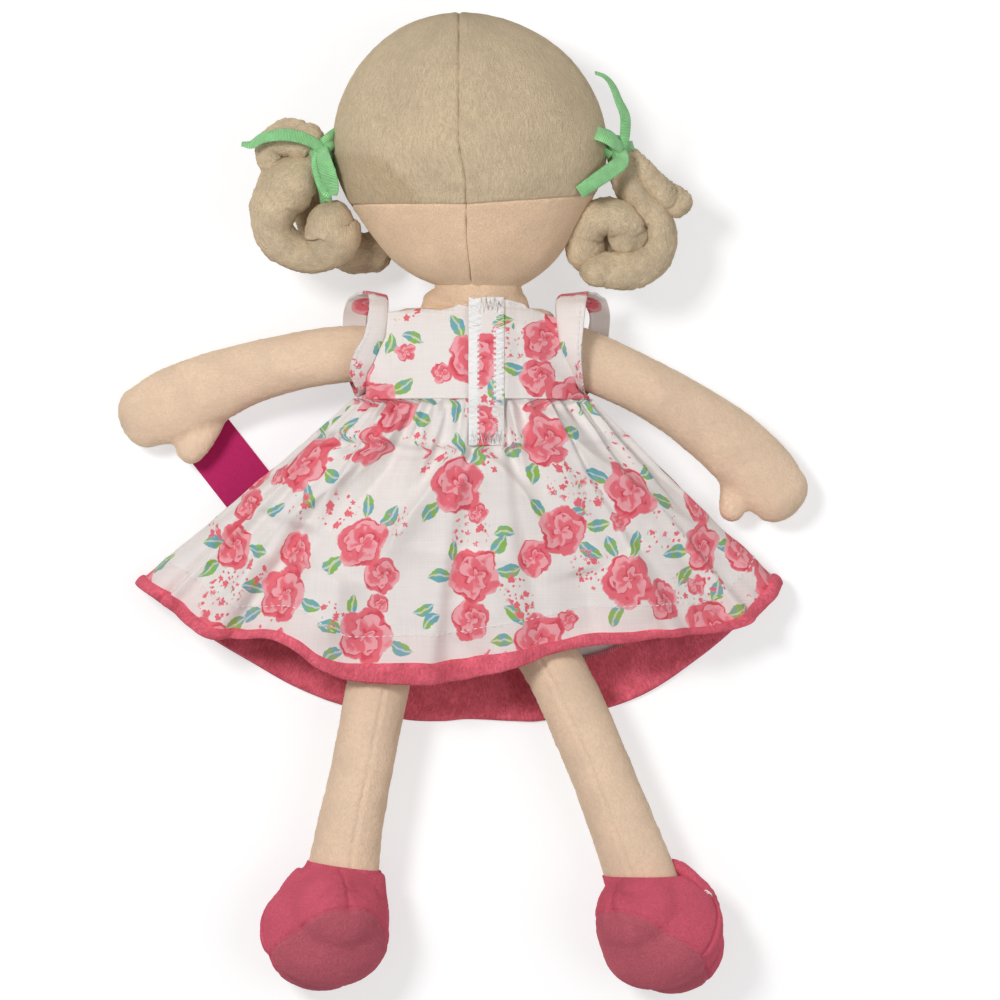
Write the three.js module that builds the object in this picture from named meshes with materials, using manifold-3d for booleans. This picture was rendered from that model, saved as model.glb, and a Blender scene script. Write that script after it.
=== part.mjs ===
// A stuffed rag doll in a cotton dress, lying face down with its arms spread.
// Millimetres. +Y points to the doll's head and +Z away from the surface that it lies on.
import * as THREE from 'three';
import { mergeVertices } from 'three/addons/utils/BufferGeometryUtils.js';
import Module from 'manifold-3d';

const wasm = await Module();
wasm.setup();

// Driving dimensions: clearances and cloth
const gap = 0.3;
const clothThickness = 0.9;
const plushThickness = 2;
const tapeThickness = 0.8;
const skinThickness = 1.6;
const flatDepth = 0.5;
const cutOverrun = 4;
const jointClearance = 0.6;
const armholeClearance = 2.4;

// Head and neck
const headHalfWidth = 53.2;
const headHeight = 106.4;
const headHalfDepth = 40;
const hairlineHeight = 32;
const neckHalfWidth = 20.5;
const neckHalfDepth = 9.5;
const neckRise = 8;
const neckRootDrop = 2;
const nodTilts = [-17, 0, 17].map(THREE.MathUtils.degToRad);
const flowerRadius = 7.5;
const flowerThickness = 3;

// Bunches, each tied at the side of the head
const bunchLength = 45;
const lockHalfWidth = 9;
const lockRootRadius = 4;
const tieHeight = 53.3;
const tieStandOff = 4.2;
const ribbonWidth = 6.4;
const ribbonThickness = 0.9;
const knotRadius = 3.4;

// Torso
const torsoHeight = 96;
const shoulderHeight = 35;
const torsoHalfWidth = 42;
const torsoHalfDepth = 24.5;
const torsoLift = 33;
const bodyLean = -5.5;

// Arms
const armLength = 105;
const armHalfWidth = 11.4;
const armHalfDepth = 9.6;
const shoulderSpread = 39.4;
const armholeDrop = 17.4;
const shoulderLift = 31;
const palmLift = 11.4;
const thumbHalfWidth = 5.4;
const armTilts = [-70, -64].map(THREE.MathUtils.degToRad);

// Legs and shoes
const legLength = 112;
const legHalfWidth = 12.2;
const legHalfDepth = 11.8;
const hipSpacing = 46.5;
const hipLift = 25;
const shoeHalfLength = 31;
const shoeHalfWidth = 24.8;
const shoeHalfHeight = 23.5;
const soleOffset = 8;
const strapWidth = 10;
const strapThickness = 2;
const footPitch = THREE.MathUtils.degToRad(55);
const leftFootTurn = THREE.MathUtils.degToRad(20);
const rightFootTurn = THREE.MathUtils.degToRad(-41);

// Dress
const placketWidth = 13.3;
const placketStart = -1.6;
const sleeveWidth = 9;
const sleeveHalfHeight = 20;
const sleeveHalfDepth = 17.5;
const sleeveLean = 4.2;
const sleeveOut = 3.5;
const skirtHalfWidth = 127;
const skirtSideDrop = 73;
const skirtSideLift = 9;
const skirtBackRise = 36;
const skirtFrontLift = 1.5;
const skirtShift = -5.5;
const hemReach = 54;
const foldDepth = 6;
const hemBandHeight = 9.5;

// Card tag
const tagWidth = 22;
const tagLength = 47;
const tagThickness = 0.6;
const tagLift = 0.6;
const tagHoleRadius = 1.4;
const fastenerRadius = 0.5;
const fastenerHeadRadius = 2;
const fastenerLength = 7;
const fastenerBarLength = 6;
const tagPinInset = 4;
const tagTurn = THREE.MathUtils.degToRad(-52);

// Facets round each form, and rows along it
const headAround = 24;
const torsoAround = 20;
const neckAround = 14;
const neckRows = 7;
const limbAround = 12;
const armRows = 14;
const legRows = 12;
const thumbAround = 8;
const thumbRows = 7;
const shoeAround = 16;
const shoeRows = 10;
const lockAround = 8;
const lockRows = 14;
const ballRows = 8;
const ribbonSteps = 5;
const sleeveAround = 16;
const skirtAround = 48;
const skirtRows = 5;
const roundSides = 16;
const pinSides = 8;

// Materials
const fabric = (color, roughness = 0.95) =>
  new THREE.MeshStandardMaterial({ color, roughness, metalness: 0 });
const skinPlush = () => fabric('#e0c4a4');
const hairPlush = () => fabric('#c4ac8c');
const pinkPlush = () => fabric('#c44a68');
const printedCotton = () => fabric('#eee0da', 0.9);
const greenRibbon = () => fabric('#78cd82', 0.7);
const crimsonFelt = () => fabric('#b41e3c');
const whiteTape = () => fabric('#f2f0ee', 0.8);
const magentaCard = () => fabric('#b02c66', 0.6);
const clearPlastic = () => fabric('#dcdce0', 0.35);

// Solids from geometries and back
function solidOf(geometry) {
  const bare = geometry.clone();
  bare.deleteAttribute('normal');
  bare.deleteAttribute('uv');
  const welded = mergeVertices(bare);
  const vertProperties = Float32Array.from(welded.attributes.position.array);
  const triVerts = Uint32Array.from(welded.index.array);
  return new wasm.Manifold(new wasm.Mesh({ numProp: 3, vertProperties, triVerts }));
}

function geometryOf(solid) {
  const { vertProperties, triVerts } = solid.getMesh();
  const geometry = new THREE.BufferGeometry();
  geometry.setAttribute('position', new THREE.BufferAttribute(vertProperties, 3));
  geometry.setIndex(new THREE.BufferAttribute(triVerts, 1));
  geometry.computeVertexNormals();
  return geometry;
}

// A solid turned about an axis through a point
function turned(solid, pivot, axis, angle) {
  const geometry = geometryOf(solid);
  geometry.translate(-pivot.x, -pivot.y, -pivot.z);
  geometry.applyQuaternion(new THREE.Quaternion().setFromAxisAngle(axis, angle));
  geometry.translate(pivot.x, pivot.y, pivot.z);
  return solidOf(geometry);
}

const united = (solids) => solids.reduce((all, solid) => all.add(solid));
const cutBy = (solid, tools) => tools.reduce((rest, tool) => rest.subtract(tool), solid);

// A sphere geometry whose grid of points is placed by a function of its turn and its row
function shapedSphere(around, rows, place) {
  const geometry = new THREE.SphereGeometry(1, around, rows);
  const position = geometry.attributes.position;
  for (let index = 0; index < position.count; index++) {
    const column = index % (around + 1) % around;
    const row = Math.floor(index / (around + 1));
    const point = place((column / around) * 2 * Math.PI, row);
    position.setXYZ(index, point.x, point.y, point.z);
  }
  return solidOf(geometry);
}

// A closed shell of one thickness, open at both ends: a lathe geometry whose profile goes up the
// outer side and down the inner side. The surface is a function of the turn and a share from 0 to 1.
function shell(around, rows, thickness, surface) {
  const count = 2 * rows + 3;
  const profile = [];
  for (let step = 0; step < count; step++) {
    const angle = ((step % (count - 1)) / (count - 1)) * 2 * Math.PI;
    profile.push(new THREE.Vector2(2 + Math.cos(angle), Math.sin(angle)));
  }
  const geometry = new THREE.LatheGeometry(profile, around);
  const position = geometry.attributes.position;
  const nearShare = 0.01;
  for (let index = 0; index < position.count; index++) {
    const turn = ((Math.floor(index / count) % around) / around) * 2 * Math.PI;
    const step = (index % count) % (count - 1);
    const outside = step <= rows;
    const share = outside ? 1 - step / rows : (step - rows - 1) / rows;
    const point = surface(turn, share);
    if (!outside) {
      const across = surface(turn + nearShare, share).sub(surface(turn - nearShare, share));
      const upward = surface(turn, share - nearShare).sub(surface(turn, share + nearShare));
      point.addScaledVector(across.cross(upward).normalize(), -thickness);
    }
    position.setXYZ(index, point.x, point.y, point.z);
  }
  return solidOf(geometry);
}

// A stuffed tube along a curve. Each station holds a point, a half width and a half depth.
// A flat end keeps its width, as a limb does where it is sewn into a seam.
function stuffedTube(stations, { around, rows, grow = 0, flatStart = false }) {
  const path = new THREE.CatmullRomCurve3(stations.map((s) => s.point), false, 'catmullrom');
  const sizes = new THREE.CatmullRomCurve3(
    stations.map((s) => new THREE.Vector3(s.halfWidth + grow, s.halfDepth + grow, 0)),
    false,
    'catmullrom',
  );
  const capRows = 3;
  const flatPower = 0.25;
  return shapedSphere(around, rows, (turn, row) => {
    const inner = THREE.MathUtils.clamp(row - capRows, 0, rows - 2 * capRows) / (rows - 2 * capRows);
    const rest = Math.min(row, rows - row, capRows) / capRows;
    const bend = (rest * Math.PI) / 2;
    const tangent = path.getTangent(inner);
    const size = sizes.getPoint(inner);
    const atStart = row < capRows;
    const push = (atStart ? -1 : 1) * (rest < 1 ? Math.cos(bend) : 0) * size.y;
    const centre = path.getPoint(inner).addScaledVector(tangent, push);
    const side = new THREE.Vector3(0, 0, 1).cross(tangent).normalize();
    const up = tangent.clone().cross(side);
    const widthShare = atStart && flatStart ? Math.sin(bend) ** flatPower : Math.sin(bend);
    const point = centre.clone();
    point.addScaledVector(side, -Math.cos(turn) * size.x * widthShare);
    point.addScaledVector(up, Math.sin(turn) * size.y * Math.sin(bend));
    return point;
  });
}

// A flat band along a curve: a box geometry bent along it, with its width across the given direction
function band(points, width, thickness, upDirections) {
  const path = new THREE.CatmullRomCurve3(points, false, 'catmullrom');
  const ups = new THREE.CatmullRomCurve3(upDirections, false, 'catmullrom');
  const geometry = new THREE.BoxGeometry(1, 1, 1, ribbonSteps, 1, 1);
  const position = geometry.attributes.position;
  const unit = new THREE.Vector3();
  for (let index = 0; index < position.count; index++) {
    unit.fromBufferAttribute(position, index);
    const along = THREE.MathUtils.clamp(unit.x + 1 / 2, 0, 1);
    const tangent = path.getTangent(along);
    const side = ups.getPoint(along).cross(tangent).normalize();
    const normal = tangent.clone().cross(side);
    const point = path.getPoint(along);
    point.addScaledVector(side, unit.y * width);
    point.addScaledVector(normal, unit.z * thickness);
    position.setXYZ(index, point.x, point.y, point.z);
  }
  return solidOf(geometry);
}

// A flat outline drawn out along Z between two heights
function prism(outline, low, high) {
  const shape = new THREE.Shape(outline.map(([x, y]) => new THREE.Vector2(x, y)));
  const geometry = new THREE.ExtrudeGeometry(shape, { depth: high - low, bevelEnabled: false });
  geometry.translate(0, 0, low);
  return solidOf(geometry);
}

// A round bar about a middle point, along a direction
function bar(middle, direction, radius, length, sides) {
  const geometry = new THREE.CylinderGeometry(radius, radius, length, sides);
  const turn = new THREE.Quaternion().setFromUnitVectors(new THREE.Vector3(0, 1, 0), direction);
  geometry.applyQuaternion(turn);
  geometry.translate(middle.x, middle.y, middle.z);
  return solidOf(geometry);
}

// A half space as a large slab on the side of a plane that the direction points to
function slab(point, direction, extent) {
  const geometry = new THREE.BoxGeometry(extent, extent, extent);
  geometry.translate(0, 0, extent / 2);
  const turn = new THREE.Quaternion().setFromUnitVectors(new THREE.Vector3(0, 0, 1), direction);
  geometry.applyQuaternion(turn);
  geometry.translate(point.x, point.y, point.z);
  return solidOf(geometry);
}

const wholeExtent = 8 * torsoHeight;
const xAxis = new THREE.Vector3(1, 0, 0);
const yAxis = new THREE.Vector3(0, 1, 0);
const zAxis = new THREE.Vector3(0, 0, 1);
const floorBelow = slab(new THREE.Vector3(0, 0, 0), zAxis.clone().negate(), wholeExtent);

// Points given as shares of a length from a pivot, with the height going from one lift to another
function stationsFrom(pivot, length, endLift, halfWidth, halfDepth, shares) {
  return shares.map(([x, y, rise, width, depth]) => ({
    point: new THREE.Vector3(
      pivot.x + x * length,
      pivot.y + y * length,
      pivot.z + (endLift - pivot.z) * rise,
    ),
    halfWidth: halfWidth * width,
    halfDepth: halfDepth * depth,
  }));
}

// A form of oval rings down the Y axis, closed by a flat cap or a point at each end
function ringedForm(around, rings) {
  const rows = rings.length + 1;
  return shapedSphere(around, rows, (turn, row) => {
    const ring = rings[THREE.MathUtils.clamp(row - 1, 0, rings.length - 1)];
    const open = row === 0 || row === rows ? 0 : 1;
    return new THREE.Vector3(
      ring.x - Math.cos(turn) * ring.halfWidth * open,
      ring.y + (row === 0 ? ring.tip : 0),
      ring.z + Math.sin(turn) * ring.halfDepth * open,
    );
  });
}

// A spline through a table of shares, read at a share of its first column
function splineOf(table) {
  return (at) => {
    let next = table.findIndex((entry) => entry[0] >= at);
    next = next < 1 ? 1 : next;
    const clampIndex = (index) => THREE.MathUtils.clamp(index, 0, table.length - 1);
    const around = [next - 2, next - 1, next, next + 1];
    const [before, from, to, after] = around.map((index) => table[clampIndex(index)]);
    const span = to[0] - from[0];
    const part = THREE.MathUtils.clamp((at - from[0]) / span, 0, 1);
    return from.map((value, column) => {
      const startSlope = ((to[column] - before[column]) / (to[0] - before[0])) * span;
      const endSlope = ((after[column] - value) / (after[0] - from[0])) * span;
      const square = part * part;
      const cube = square * part;
      const keepStart = 2 * cube - 3 * square + 1;
      const leanStart = cube - 2 * square + part;
      const leanEnd = cube - square;
      return keepStart * value + leanStart * startSlope + (1 - keepStart) * to[column] + leanEnd * endSlope;
    });
  };
}

// Head: rings from the crown down to the neck seam. Each row holds the share of the height from
// the crown, of the half width, and the sideways shift as a share of the half width.
const headRingShares = [
  [0.012, 0.219, -0.08],
  [0.05, 0.438, -0.07],
  [0.11, 0.629, -0.05],
  [0.19, 0.788, -0.04],
  [0.29, 0.911, -0.03],
  [0.4, 0.982, -0.025],
  [0.5, 1, -0.02],
  [0.6, 0.965, -0.02],
  [0.692, 0.88, -0.02],
  [0.77, 0.79, -0.01],
  [0.84, 0.695, 0],
  [0.908, 0.584, 0.01],
  [0.96, 0.45, 0.025],
  [1, 0.325, 0.04],
];
const headLift = headHalfDepth - flatDepth;
const neckSeam = shoulderHeight + neckRise;
const crown = neckSeam + headHeight;

function headForm(grow) {
  const depthPower = 0.9;
  const thinShare = 0.3;
  const rings = headRingShares.map(([down, wide, shift]) => {
    const offset = grow * Math.min(1, wide / thinShare);
    return {
      x: shift * headHalfWidth,
      y: crown - down * headHeight + grow * Math.max(0, 1 - 2 * down),
      z: headLift,
      tip: down * headHeight,
      halfWidth: wide * headHalfWidth + offset,
      halfDepth: wide ** depthPower * headHalfDepth + offset,
    };
  });
  return ringedForm(headAround, rings);
}

const headOutside = headForm(0);
const headInside = headForm(-skinThickness);
const headStuffing = headForm(-skinThickness - gap);
const headSkin = headOutside.subtract(headInside).subtract(floorBelow);

// The centre back seam and the hair line, as shares of the head's height above the neck seam and
// of its half width
const backSeamShares = [
  [-0.1, 1.1],
  [-0.1, 0.51],
  [-0.05, 0.37],
  [-0.045, 0.17],
  [0.01, -0.1],
];
const partingShare = 0.14;
const fringeEdgeShares = [
  [-1.2, 0.3],
  [-0.86, 0.42],
  [-0.5, 0.6],
  [-0.1, 0.7],
  [0.14, 0.72],
  [0.5, 0.62],
  [0.86, 0.42],
  [1.2, 0.3],
];
const seamGap = gap / 2;
const headPoint = ([x, y]) => [x * headHalfWidth, neckSeam + y * headHeight];
const backSeam = backSeamShares.map(headPoint);
const partingX = partingShare * headHalfWidth;
const fringeEdge = fringeEdgeShares.map(headPoint);
const shiftBy = (points, x, y) => points.map((point) => [point[0] + x, point[1] + y]);
const farX = 2 * headHalfWidth;
const hairline = neckSeam + hairlineHeight;
const backLow = headLift + seamGap;
const backHigh = headLift + 2 * headHalfDepth;
const frontHigh = headLift - seamGap;
const frontLow = -headHalfDepth;

// A prism of everything on one side of an outline that runs from left to right, or down
function regionAbove(points, low, high) {
  return prism([...points, [farX, 2 * crown], [-farX, 2 * crown]], low, high);
}

function regionBelow(points, low, high) {
  return prism([[-farX, -crown], [farX, -crown], ...[...points].reverse()], low, high);
}

function regionLeft(points, low, high) {
  return prism([[-farX, 2 * crown], [-farX, -crown], ...[...points].reverse()], low, high);
}

function regionRight(points, low, high) {
  return prism([[farX, -crown], [farX, 2 * crown], ...points], low, high);
}

const levelAt = (y) => [[-farX, y], [farX, y]];
const uprightAt = (x) => [[x, 2 * crown], [x, -crown]];
const backHair = headSkin.intersect(regionAbove(levelAt(hairline + seamGap), backLow, backHigh));
const nape = headSkin.intersect(regionBelow(levelAt(hairline - seamGap), backLow, backHigh));
const seamLeft = regionLeft(shiftBy(backSeam, -seamGap, 0), backLow, backHigh);
const seamRight = regionRight(shiftBy(backSeam, seamGap, 0), backLow, backHigh);
const facePanel = headSkin.intersect(regionBelow(shiftBy(fringeEdge, 0, -seamGap), frontLow, frontHigh));
const fringe = headSkin.intersect(regionAbove(shiftBy(fringeEdge, 0, seamGap), frontLow, frontHigh));
const fringeLeft = fringe.intersect(regionLeft(uprightAt(partingX - seamGap), frontLow, frontHigh));
const fringeRight = fringe.intersect(regionRight(uprightAt(partingX + seamGap), frontLow, frontHigh));

// A fabric flower of five petals, set against the side of the fringe
const flowerPetals = 5;
const petalDepthShare = 0.2;
const flowerPlaceShares = { x: -0.82, y: 0.755, z: -0.36 };
function flowerSolid() {
  const shape = new THREE.Shape();
  const outlineSteps = 8 * flowerPetals;
  for (let step = 0; step < outlineSteps; step++) {
    const turn = (step / outlineSteps) * 2 * Math.PI;
    const radius = flowerRadius * (1 - petalDepthShare + petalDepthShare * Math.cos(flowerPetals * turn));
    const place = [radius * Math.cos(turn), radius * Math.sin(turn)];
    if (step === 0) shape.moveTo(...place);
    else shape.lineTo(...place);
  }
  const geometry = new THREE.ExtrudeGeometry(shape, { depth: flowerThickness, bevelEnabled: false });
  const outward = new THREE.Vector3(flowerPlaceShares.x, 0, flowerPlaceShares.z).normalize();
  geometry.applyQuaternion(new THREE.Quaternion().setFromUnitVectors(zAxis, outward));
  geometry.translate(
    flowerPlaceShares.x * headHalfWidth,
    neckSeam + flowerPlaceShares.y * headHeight,
    headLift + flowerPlaceShares.z * headHalfDepth,
  );
  return solidOf(geometry).subtract(headForm(gap));
}

// Neck: a stuffed stub with a round root that sits in the torso's neckline
const neckPivot = new THREE.Vector3(0, shoulderHeight - neckRootDrop, torsoLift + skinThickness);
const neckTopShares = { shift: 0.1, width: 0.85, depth: 1.08 };
function neckTube(grow, tilt) {
  const rest = new THREE.Vector3(neckTopShares.shift * neckHalfWidth, neckSeam + cutOverrun, headLift);
  const top = rest.sub(neckPivot).applyAxisAngle(xAxis, tilt).add(neckPivot);
  const stations = [
    { point: neckPivot, halfWidth: neckHalfWidth, halfDepth: neckHalfDepth },
    {
      point: neckPivot.clone().lerp(top, 1 / 2),
      halfWidth: (neckHalfWidth * (1 + neckTopShares.width)) / 2,
      halfDepth: (neckHalfDepth * (1 + neckTopShares.depth)) / 2,
    },
    {
      point: top,
      halfWidth: neckHalfWidth * neckTopShares.width,
      halfDepth: neckHalfDepth * neckTopShares.depth,
    },
  ];
  return stuffedTube(stations, { around: neckAround, rows: neckRows, flatStart: true, grow });
}

const neckEnd = slab(new THREE.Vector3(0, neckSeam - gap, 0), yAxis, wholeExtent);
const neckStub = neckTube(0, 0).subtract(neckEnd);

// Torso: rings from the shoulders down to the hip seam. Each row holds the share of the height
// from the top, of the half width, of the half depth and of the lean towards one hip.
const torsoRingShares = [
  [0, 0.62, 0.58, 0],
  [0.02, 0.74, 0.64, 0],
  [0.08, 0.77, 0.78, 0],
  [0.18, 0.8, 0.88, 0],
  [0.28, 0.88, 0.95, 0],
  [0.365, 1, 1, 0],
  [0.5, 1.01, 0.94, 0.2],
  [0.65, 0.99, 0.86, 0.5],
  [0.8, 0.95, 0.74, 0.8],
  [0.93, 0.88, 0.56, 1],
  [1, 0.78, 0.4, 1],
];
function torsoForm(grow) {
  return ringedForm(
    torsoAround,
    torsoRingShares.map(([down, wide, deep, lean]) => ({
      x: lean * bodyLean,
      y: shoulderHeight - down * torsoHeight + grow * (1 - 2 * down),
      z: torsoLift,
      tip: 0,
      halfWidth: wide * torsoHalfWidth + grow,
      halfDepth: deep * torsoHalfDepth + grow,
    })),
  );
}

// Arms: rows hold the place along and across as shares of the arm's length, the share of the way
// down to the palm, and shares of the half width and the half depth
const leftArmShares = [
  [0, 0, 0, 0.97, 1],
  [-0.119, -0.004, 0.1, 0.99, 1.04],
  [-0.286, -0.03, 0.3, 1, 1.09],
  [-0.453, -0.071, 0.6, 1.07, 1.07],
  [-0.602, -0.126, 0.85, 1.22, 1.04],
  [-0.75, -0.19, 1, 1.3, 1],
  [-0.86, -0.235, 1, 1.1, 0.98],
];
const rightArmShares = [
  [0, 0, 0, 0.97, 1],
  [0.097, -0.045, 0.1, 1.01, 1.04],
  [0.267, -0.126, 0.3, 1, 1.09],
  [0.423, -0.215, 0.6, 1.06, 1.07],
  [0.579, -0.33, 0.85, 1.2, 1.04],
  [0.7, -0.448, 1, 1.24, 1],
  [0.775, -0.525, 1, 1.08, 0.98],
];
const leftThumbShares = [
  [-0.64, -0.2, 1, 1.1, 0.9],
  [-0.655, -0.3, 1, 1.05, 0.95],
  [-0.675, -0.375, 1, 0.95, 0.85],
];
const rightThumbShares = [
  [0.62, -0.4, 1, 1.1, 0.9],
  [0.6, -0.5, 1, 1.05, 0.95],
  [0.592, -0.585, 1, 0.95, 0.85],
];
const leftShoulder = new THREE.Vector3(-shoulderSpread, armholeDrop, shoulderLift);
const rightShoulder = new THREE.Vector3(shoulderSpread, armholeDrop, shoulderLift);

function armForm(shoulder, armShares, thumbShares, grow) {
  const stations = stationsFrom(shoulder, armLength, palmLift, armHalfWidth, armHalfDepth, armShares);
  const arm = stuffedTube(stations, { around: limbAround, rows: armRows, flatStart: true, grow });
  const thumbSize = thumbHalfWidth;
  const thumbStations = stationsFrom(shoulder, armLength, palmLift, thumbSize, thumbSize, thumbShares);
  const thumb = stuffedTube(thumbStations, { around: thumbAround, rows: thumbRows, grow });
  return arm.add(thumb);
}

// The way a limb leaves its pivot, and the axis across it that it swings about
function swingAxis(shares) {
  const [x, y] = shares[1];
  return new THREE.Vector3(x, y, 0).cross(zAxis).normalize();
}

// Room in the torso for the round root of a limb
function rootRoom(pivot, axis, radius, halfLength, margin) {
  return bar(pivot, axis, radius + margin, 2 * (halfLength + margin), roundSides);
}

// Legs
const hipHeight = shoulderHeight - torsoHeight - legHalfDepth - jointClearance;
const leftHip = new THREE.Vector3(bodyLean - hipSpacing / 2, hipHeight, hipLift);
const rightHip = new THREE.Vector3(bodyLean + hipSpacing / 2, hipHeight, hipLift);
const leftLegShares = [
  [0, 0, 0, 0.95, 1],
  [0, -0.07, 0.1, 0.97, 1],
  [-0.038, -0.2, 0.2, 1, 1],
  [-0.077, -0.362, 0.4, 1, 1.02],
  [-0.132, -0.641, 0.7, 0.99, 1.02],
  [-0.171, -0.832, 0.9, 1.05, 1.05],
  [-0.2, -1.02, 1, 1.16, 1.1],
];
const rightLegShares = [
  [0, 0, 0, 0.95, 1],
  [0, -0.07, 0.1, 0.97, 1],
  [0.056, -0.17, 0.2, 1, 1],
  [0.132, -0.3, 0.35, 0.97, 1.02],
  [0.212, -0.467, 0.5, 1, 1.02],
  [0.282, -0.634, 0.7, 1, 1.02],
  [0.359, -0.829, 0.9, 1.04, 1.05],
  [0.437, -1.04, 1, 1.14, 1.1],
];

// Shoes: each is the stuffed foot, turned about the leg and pitched towards the toe
const shoeStationShares = [
  [-0.42, 0.72, 0.74],
  [-0.1, 0.96, 0.98],
  [0.2, 1.02, 1],
  [0.45, 0.84, 0.8],
];
const shoeCapShare = 0.5;
function footFrame(centre, turn) {
  const spin = new THREE.Quaternion().setFromAxisAngle(yAxis, turn);
  const toe = new THREE.Vector3(0, -Math.cos(footPitch), -Math.sin(footPitch)).applyQuaternion(spin);
  const sole = new THREE.Vector3(0, -Math.sin(footPitch), Math.cos(footPitch)).applyQuaternion(spin);
  return { centre, toe, sole };
}

function shoeForm({ centre, toe, sole }, grow) {
  const side = sole.clone().cross(toe);
  const sizes = new THREE.CatmullRomCurve3(
    shoeStationShares.map(([along, wide, high]) => new THREE.Vector3(along, wide, high)),
    false,
    'catmullrom',
  );
  const capRows = 3;
  const innerRows = shoeRows - 2 * capRows;
  return shapedSphere(shoeAround, shoeRows, (turn, row) => {
    const inner = THREE.MathUtils.clamp(row - capRows, 0, innerRows) / innerRows;
    const rest = Math.min(row, shoeRows - row, capRows) / capRows;
    const bend = (rest * Math.PI) / 2;
    const [along, wide, high] = sizes.getPoint(inner).toArray();
    const push = (row < capRows ? -1 : 1) * (rest < 1 ? Math.cos(bend) : 0);
    const reach = shoeCapShare * shoeHalfLength + grow;
    const point = centre.clone().addScaledVector(toe, along * shoeHalfLength + push * reach);
    point.addScaledVector(side, -Math.cos(turn) * (wide * shoeHalfWidth + grow) * Math.sin(bend));
    point.addScaledVector(sole, Math.sin(turn) * (high * shoeHalfHeight + grow) * Math.sin(bend));
    return point;
  });
}

function shoeParts(ankle, turn) {
  const first = footFrame(new THREE.Vector3(ankle.x, ankle.y, 0), turn);
  const drop = shoeForm(first, 0).boundingBox().min[2];
  const frame = footFrame(new THREE.Vector3(ankle.x, ankle.y, -drop - flatDepth), turn);
  const whole = shoeForm(frame, 0).subtract(floorBelow);
  const solePoint = frame.centre.clone().addScaledVector(frame.sole, soleOffset);
  const soleSide = slab(solePoint, frame.sole, wholeExtent);
  const belowSole = slab(solePoint.clone().addScaledVector(frame.sole, -gap), frame.sole, wholeExtent);
  const sole = whole.intersect(soleSide).subtract(shoeForm(frame, -plushThickness));
  const soleRoom = belowSole.subtract(shoeForm(frame, -plushThickness - gap));
  const upper = whole.subtract(soleRoom);
  const strapStart = frame.centre.clone().addScaledVector(frame.toe, strapWidth / 2);
  const strapEnd = strapStart.clone().addScaledVector(frame.toe, strapWidth);
  const strapRing = shoeForm(frame, gap + strapThickness).subtract(shoeForm(frame, gap));
  const strap = cutBy(strapRing.intersect(slab(strapStart, frame.toe, wholeExtent)), [
    slab(strapEnd, frame.toe, wholeExtent),
    belowSole,
    floorBelow,
  ]);
  return { frame, whole: shoeForm(frame, gap), upper, sole, strap };
}

// Bunches: rows hold the place as shares of the bunch's length from its tie, the lift as a share
// of the length above the tie, and the radius in named sizes
const tieLift = headLift;
const leftTie = new THREE.Vector3(0, neckSeam + tieHeight, tieLift);
const rightTie = leftTie.clone();
leftTie.x = -headHalfWidth * (1 - headRingShares[6][2]) - tieStandOff;
rightTie.x = headHalfWidth * (1 + headRingShares[6][2]) + tieStandOff;

const placeFrom = (tie, [x, y, z]) =>
  new THREE.Vector3(tie.x + x * bunchLength, tie.y + y * bunchLength, tie.z + z * bunchLength);

function lockForm(tie, shares, rows, grow) {
  const stations = shares.map((share) => ({
    point: placeFrom(tie, share),
    halfWidth: lockHalfWidth * share[3],
    halfDepth: lockHalfWidth * share[3],
  }));
  return stuffedTube(stations, { around: lockAround, rows, grow });
}

const leftLockShares = [
  [
    [0, 0, 0, 0.45],
    [-0.173, -0.09, 0, 0.62],
    [-0.364, -0.217, 0, 0.88],
    [-0.433, -0.425, 0, 1],
    [-0.39, -0.667, -0.02, 0.95],
    [-0.22, -0.84, -0.04, 0.84],
    [-0.02, -0.85, -0.04, 0.9],
  ],
  [
    [-0.1, 0.12, 0.06, 0.45],
    [-0.2, 0.2, 0.08, 0.68],
    [-0.33, 0.17, 0.08, 0.75],
    [-0.42, 0.05, 0.06, 0.68],
  ],
  [
    [0.06, -0.06, -0.23, 0.45],
    [0.03, -0.28, -0.3, 0.6],
    [0.05, -0.555, -0.42, 0.78],
    [0.17, -0.82, -0.46, 0.85],
    [0.4, -0.87, -0.46, 0.82],
  ],
];
const leftBallShares = [
  [0.06, -0.8, 0, 0.9],
  [0.113, -0.685, 0.02, 1.08],
];
const rightLockShares = [
  [
    [0, 0, 0, 0.45],
    [0.06, -0.22, -0.03, 0.56],
    [0.21, -0.47, -0.05, 0.6],
    [0.33, -0.728, -0.1, 0.62],
    [0.29, -0.95, -0.12, 0.68],
    [0.078, -1.04, -0.12, 0.72],
    [-0.12, -1.04, -0.12, 0.7],
  ],
  [
    [-0.312, -0.88, -0.02, 0.62],
    [-0.312, -0.702, 0, 0.74],
    [-0.19, -0.585, 0.02, 0.78],
    [-0.009, -0.6, 0.02, 0.78],
    [0.06, -0.71, 0, 0.72],
  ],
  [
    [0.15, -0.12, 0, 0.42],
    [0.295, -0.27, -0.04, 0.6],
    [0.47, -0.45, -0.08, 0.66],
  ],
];

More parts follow.
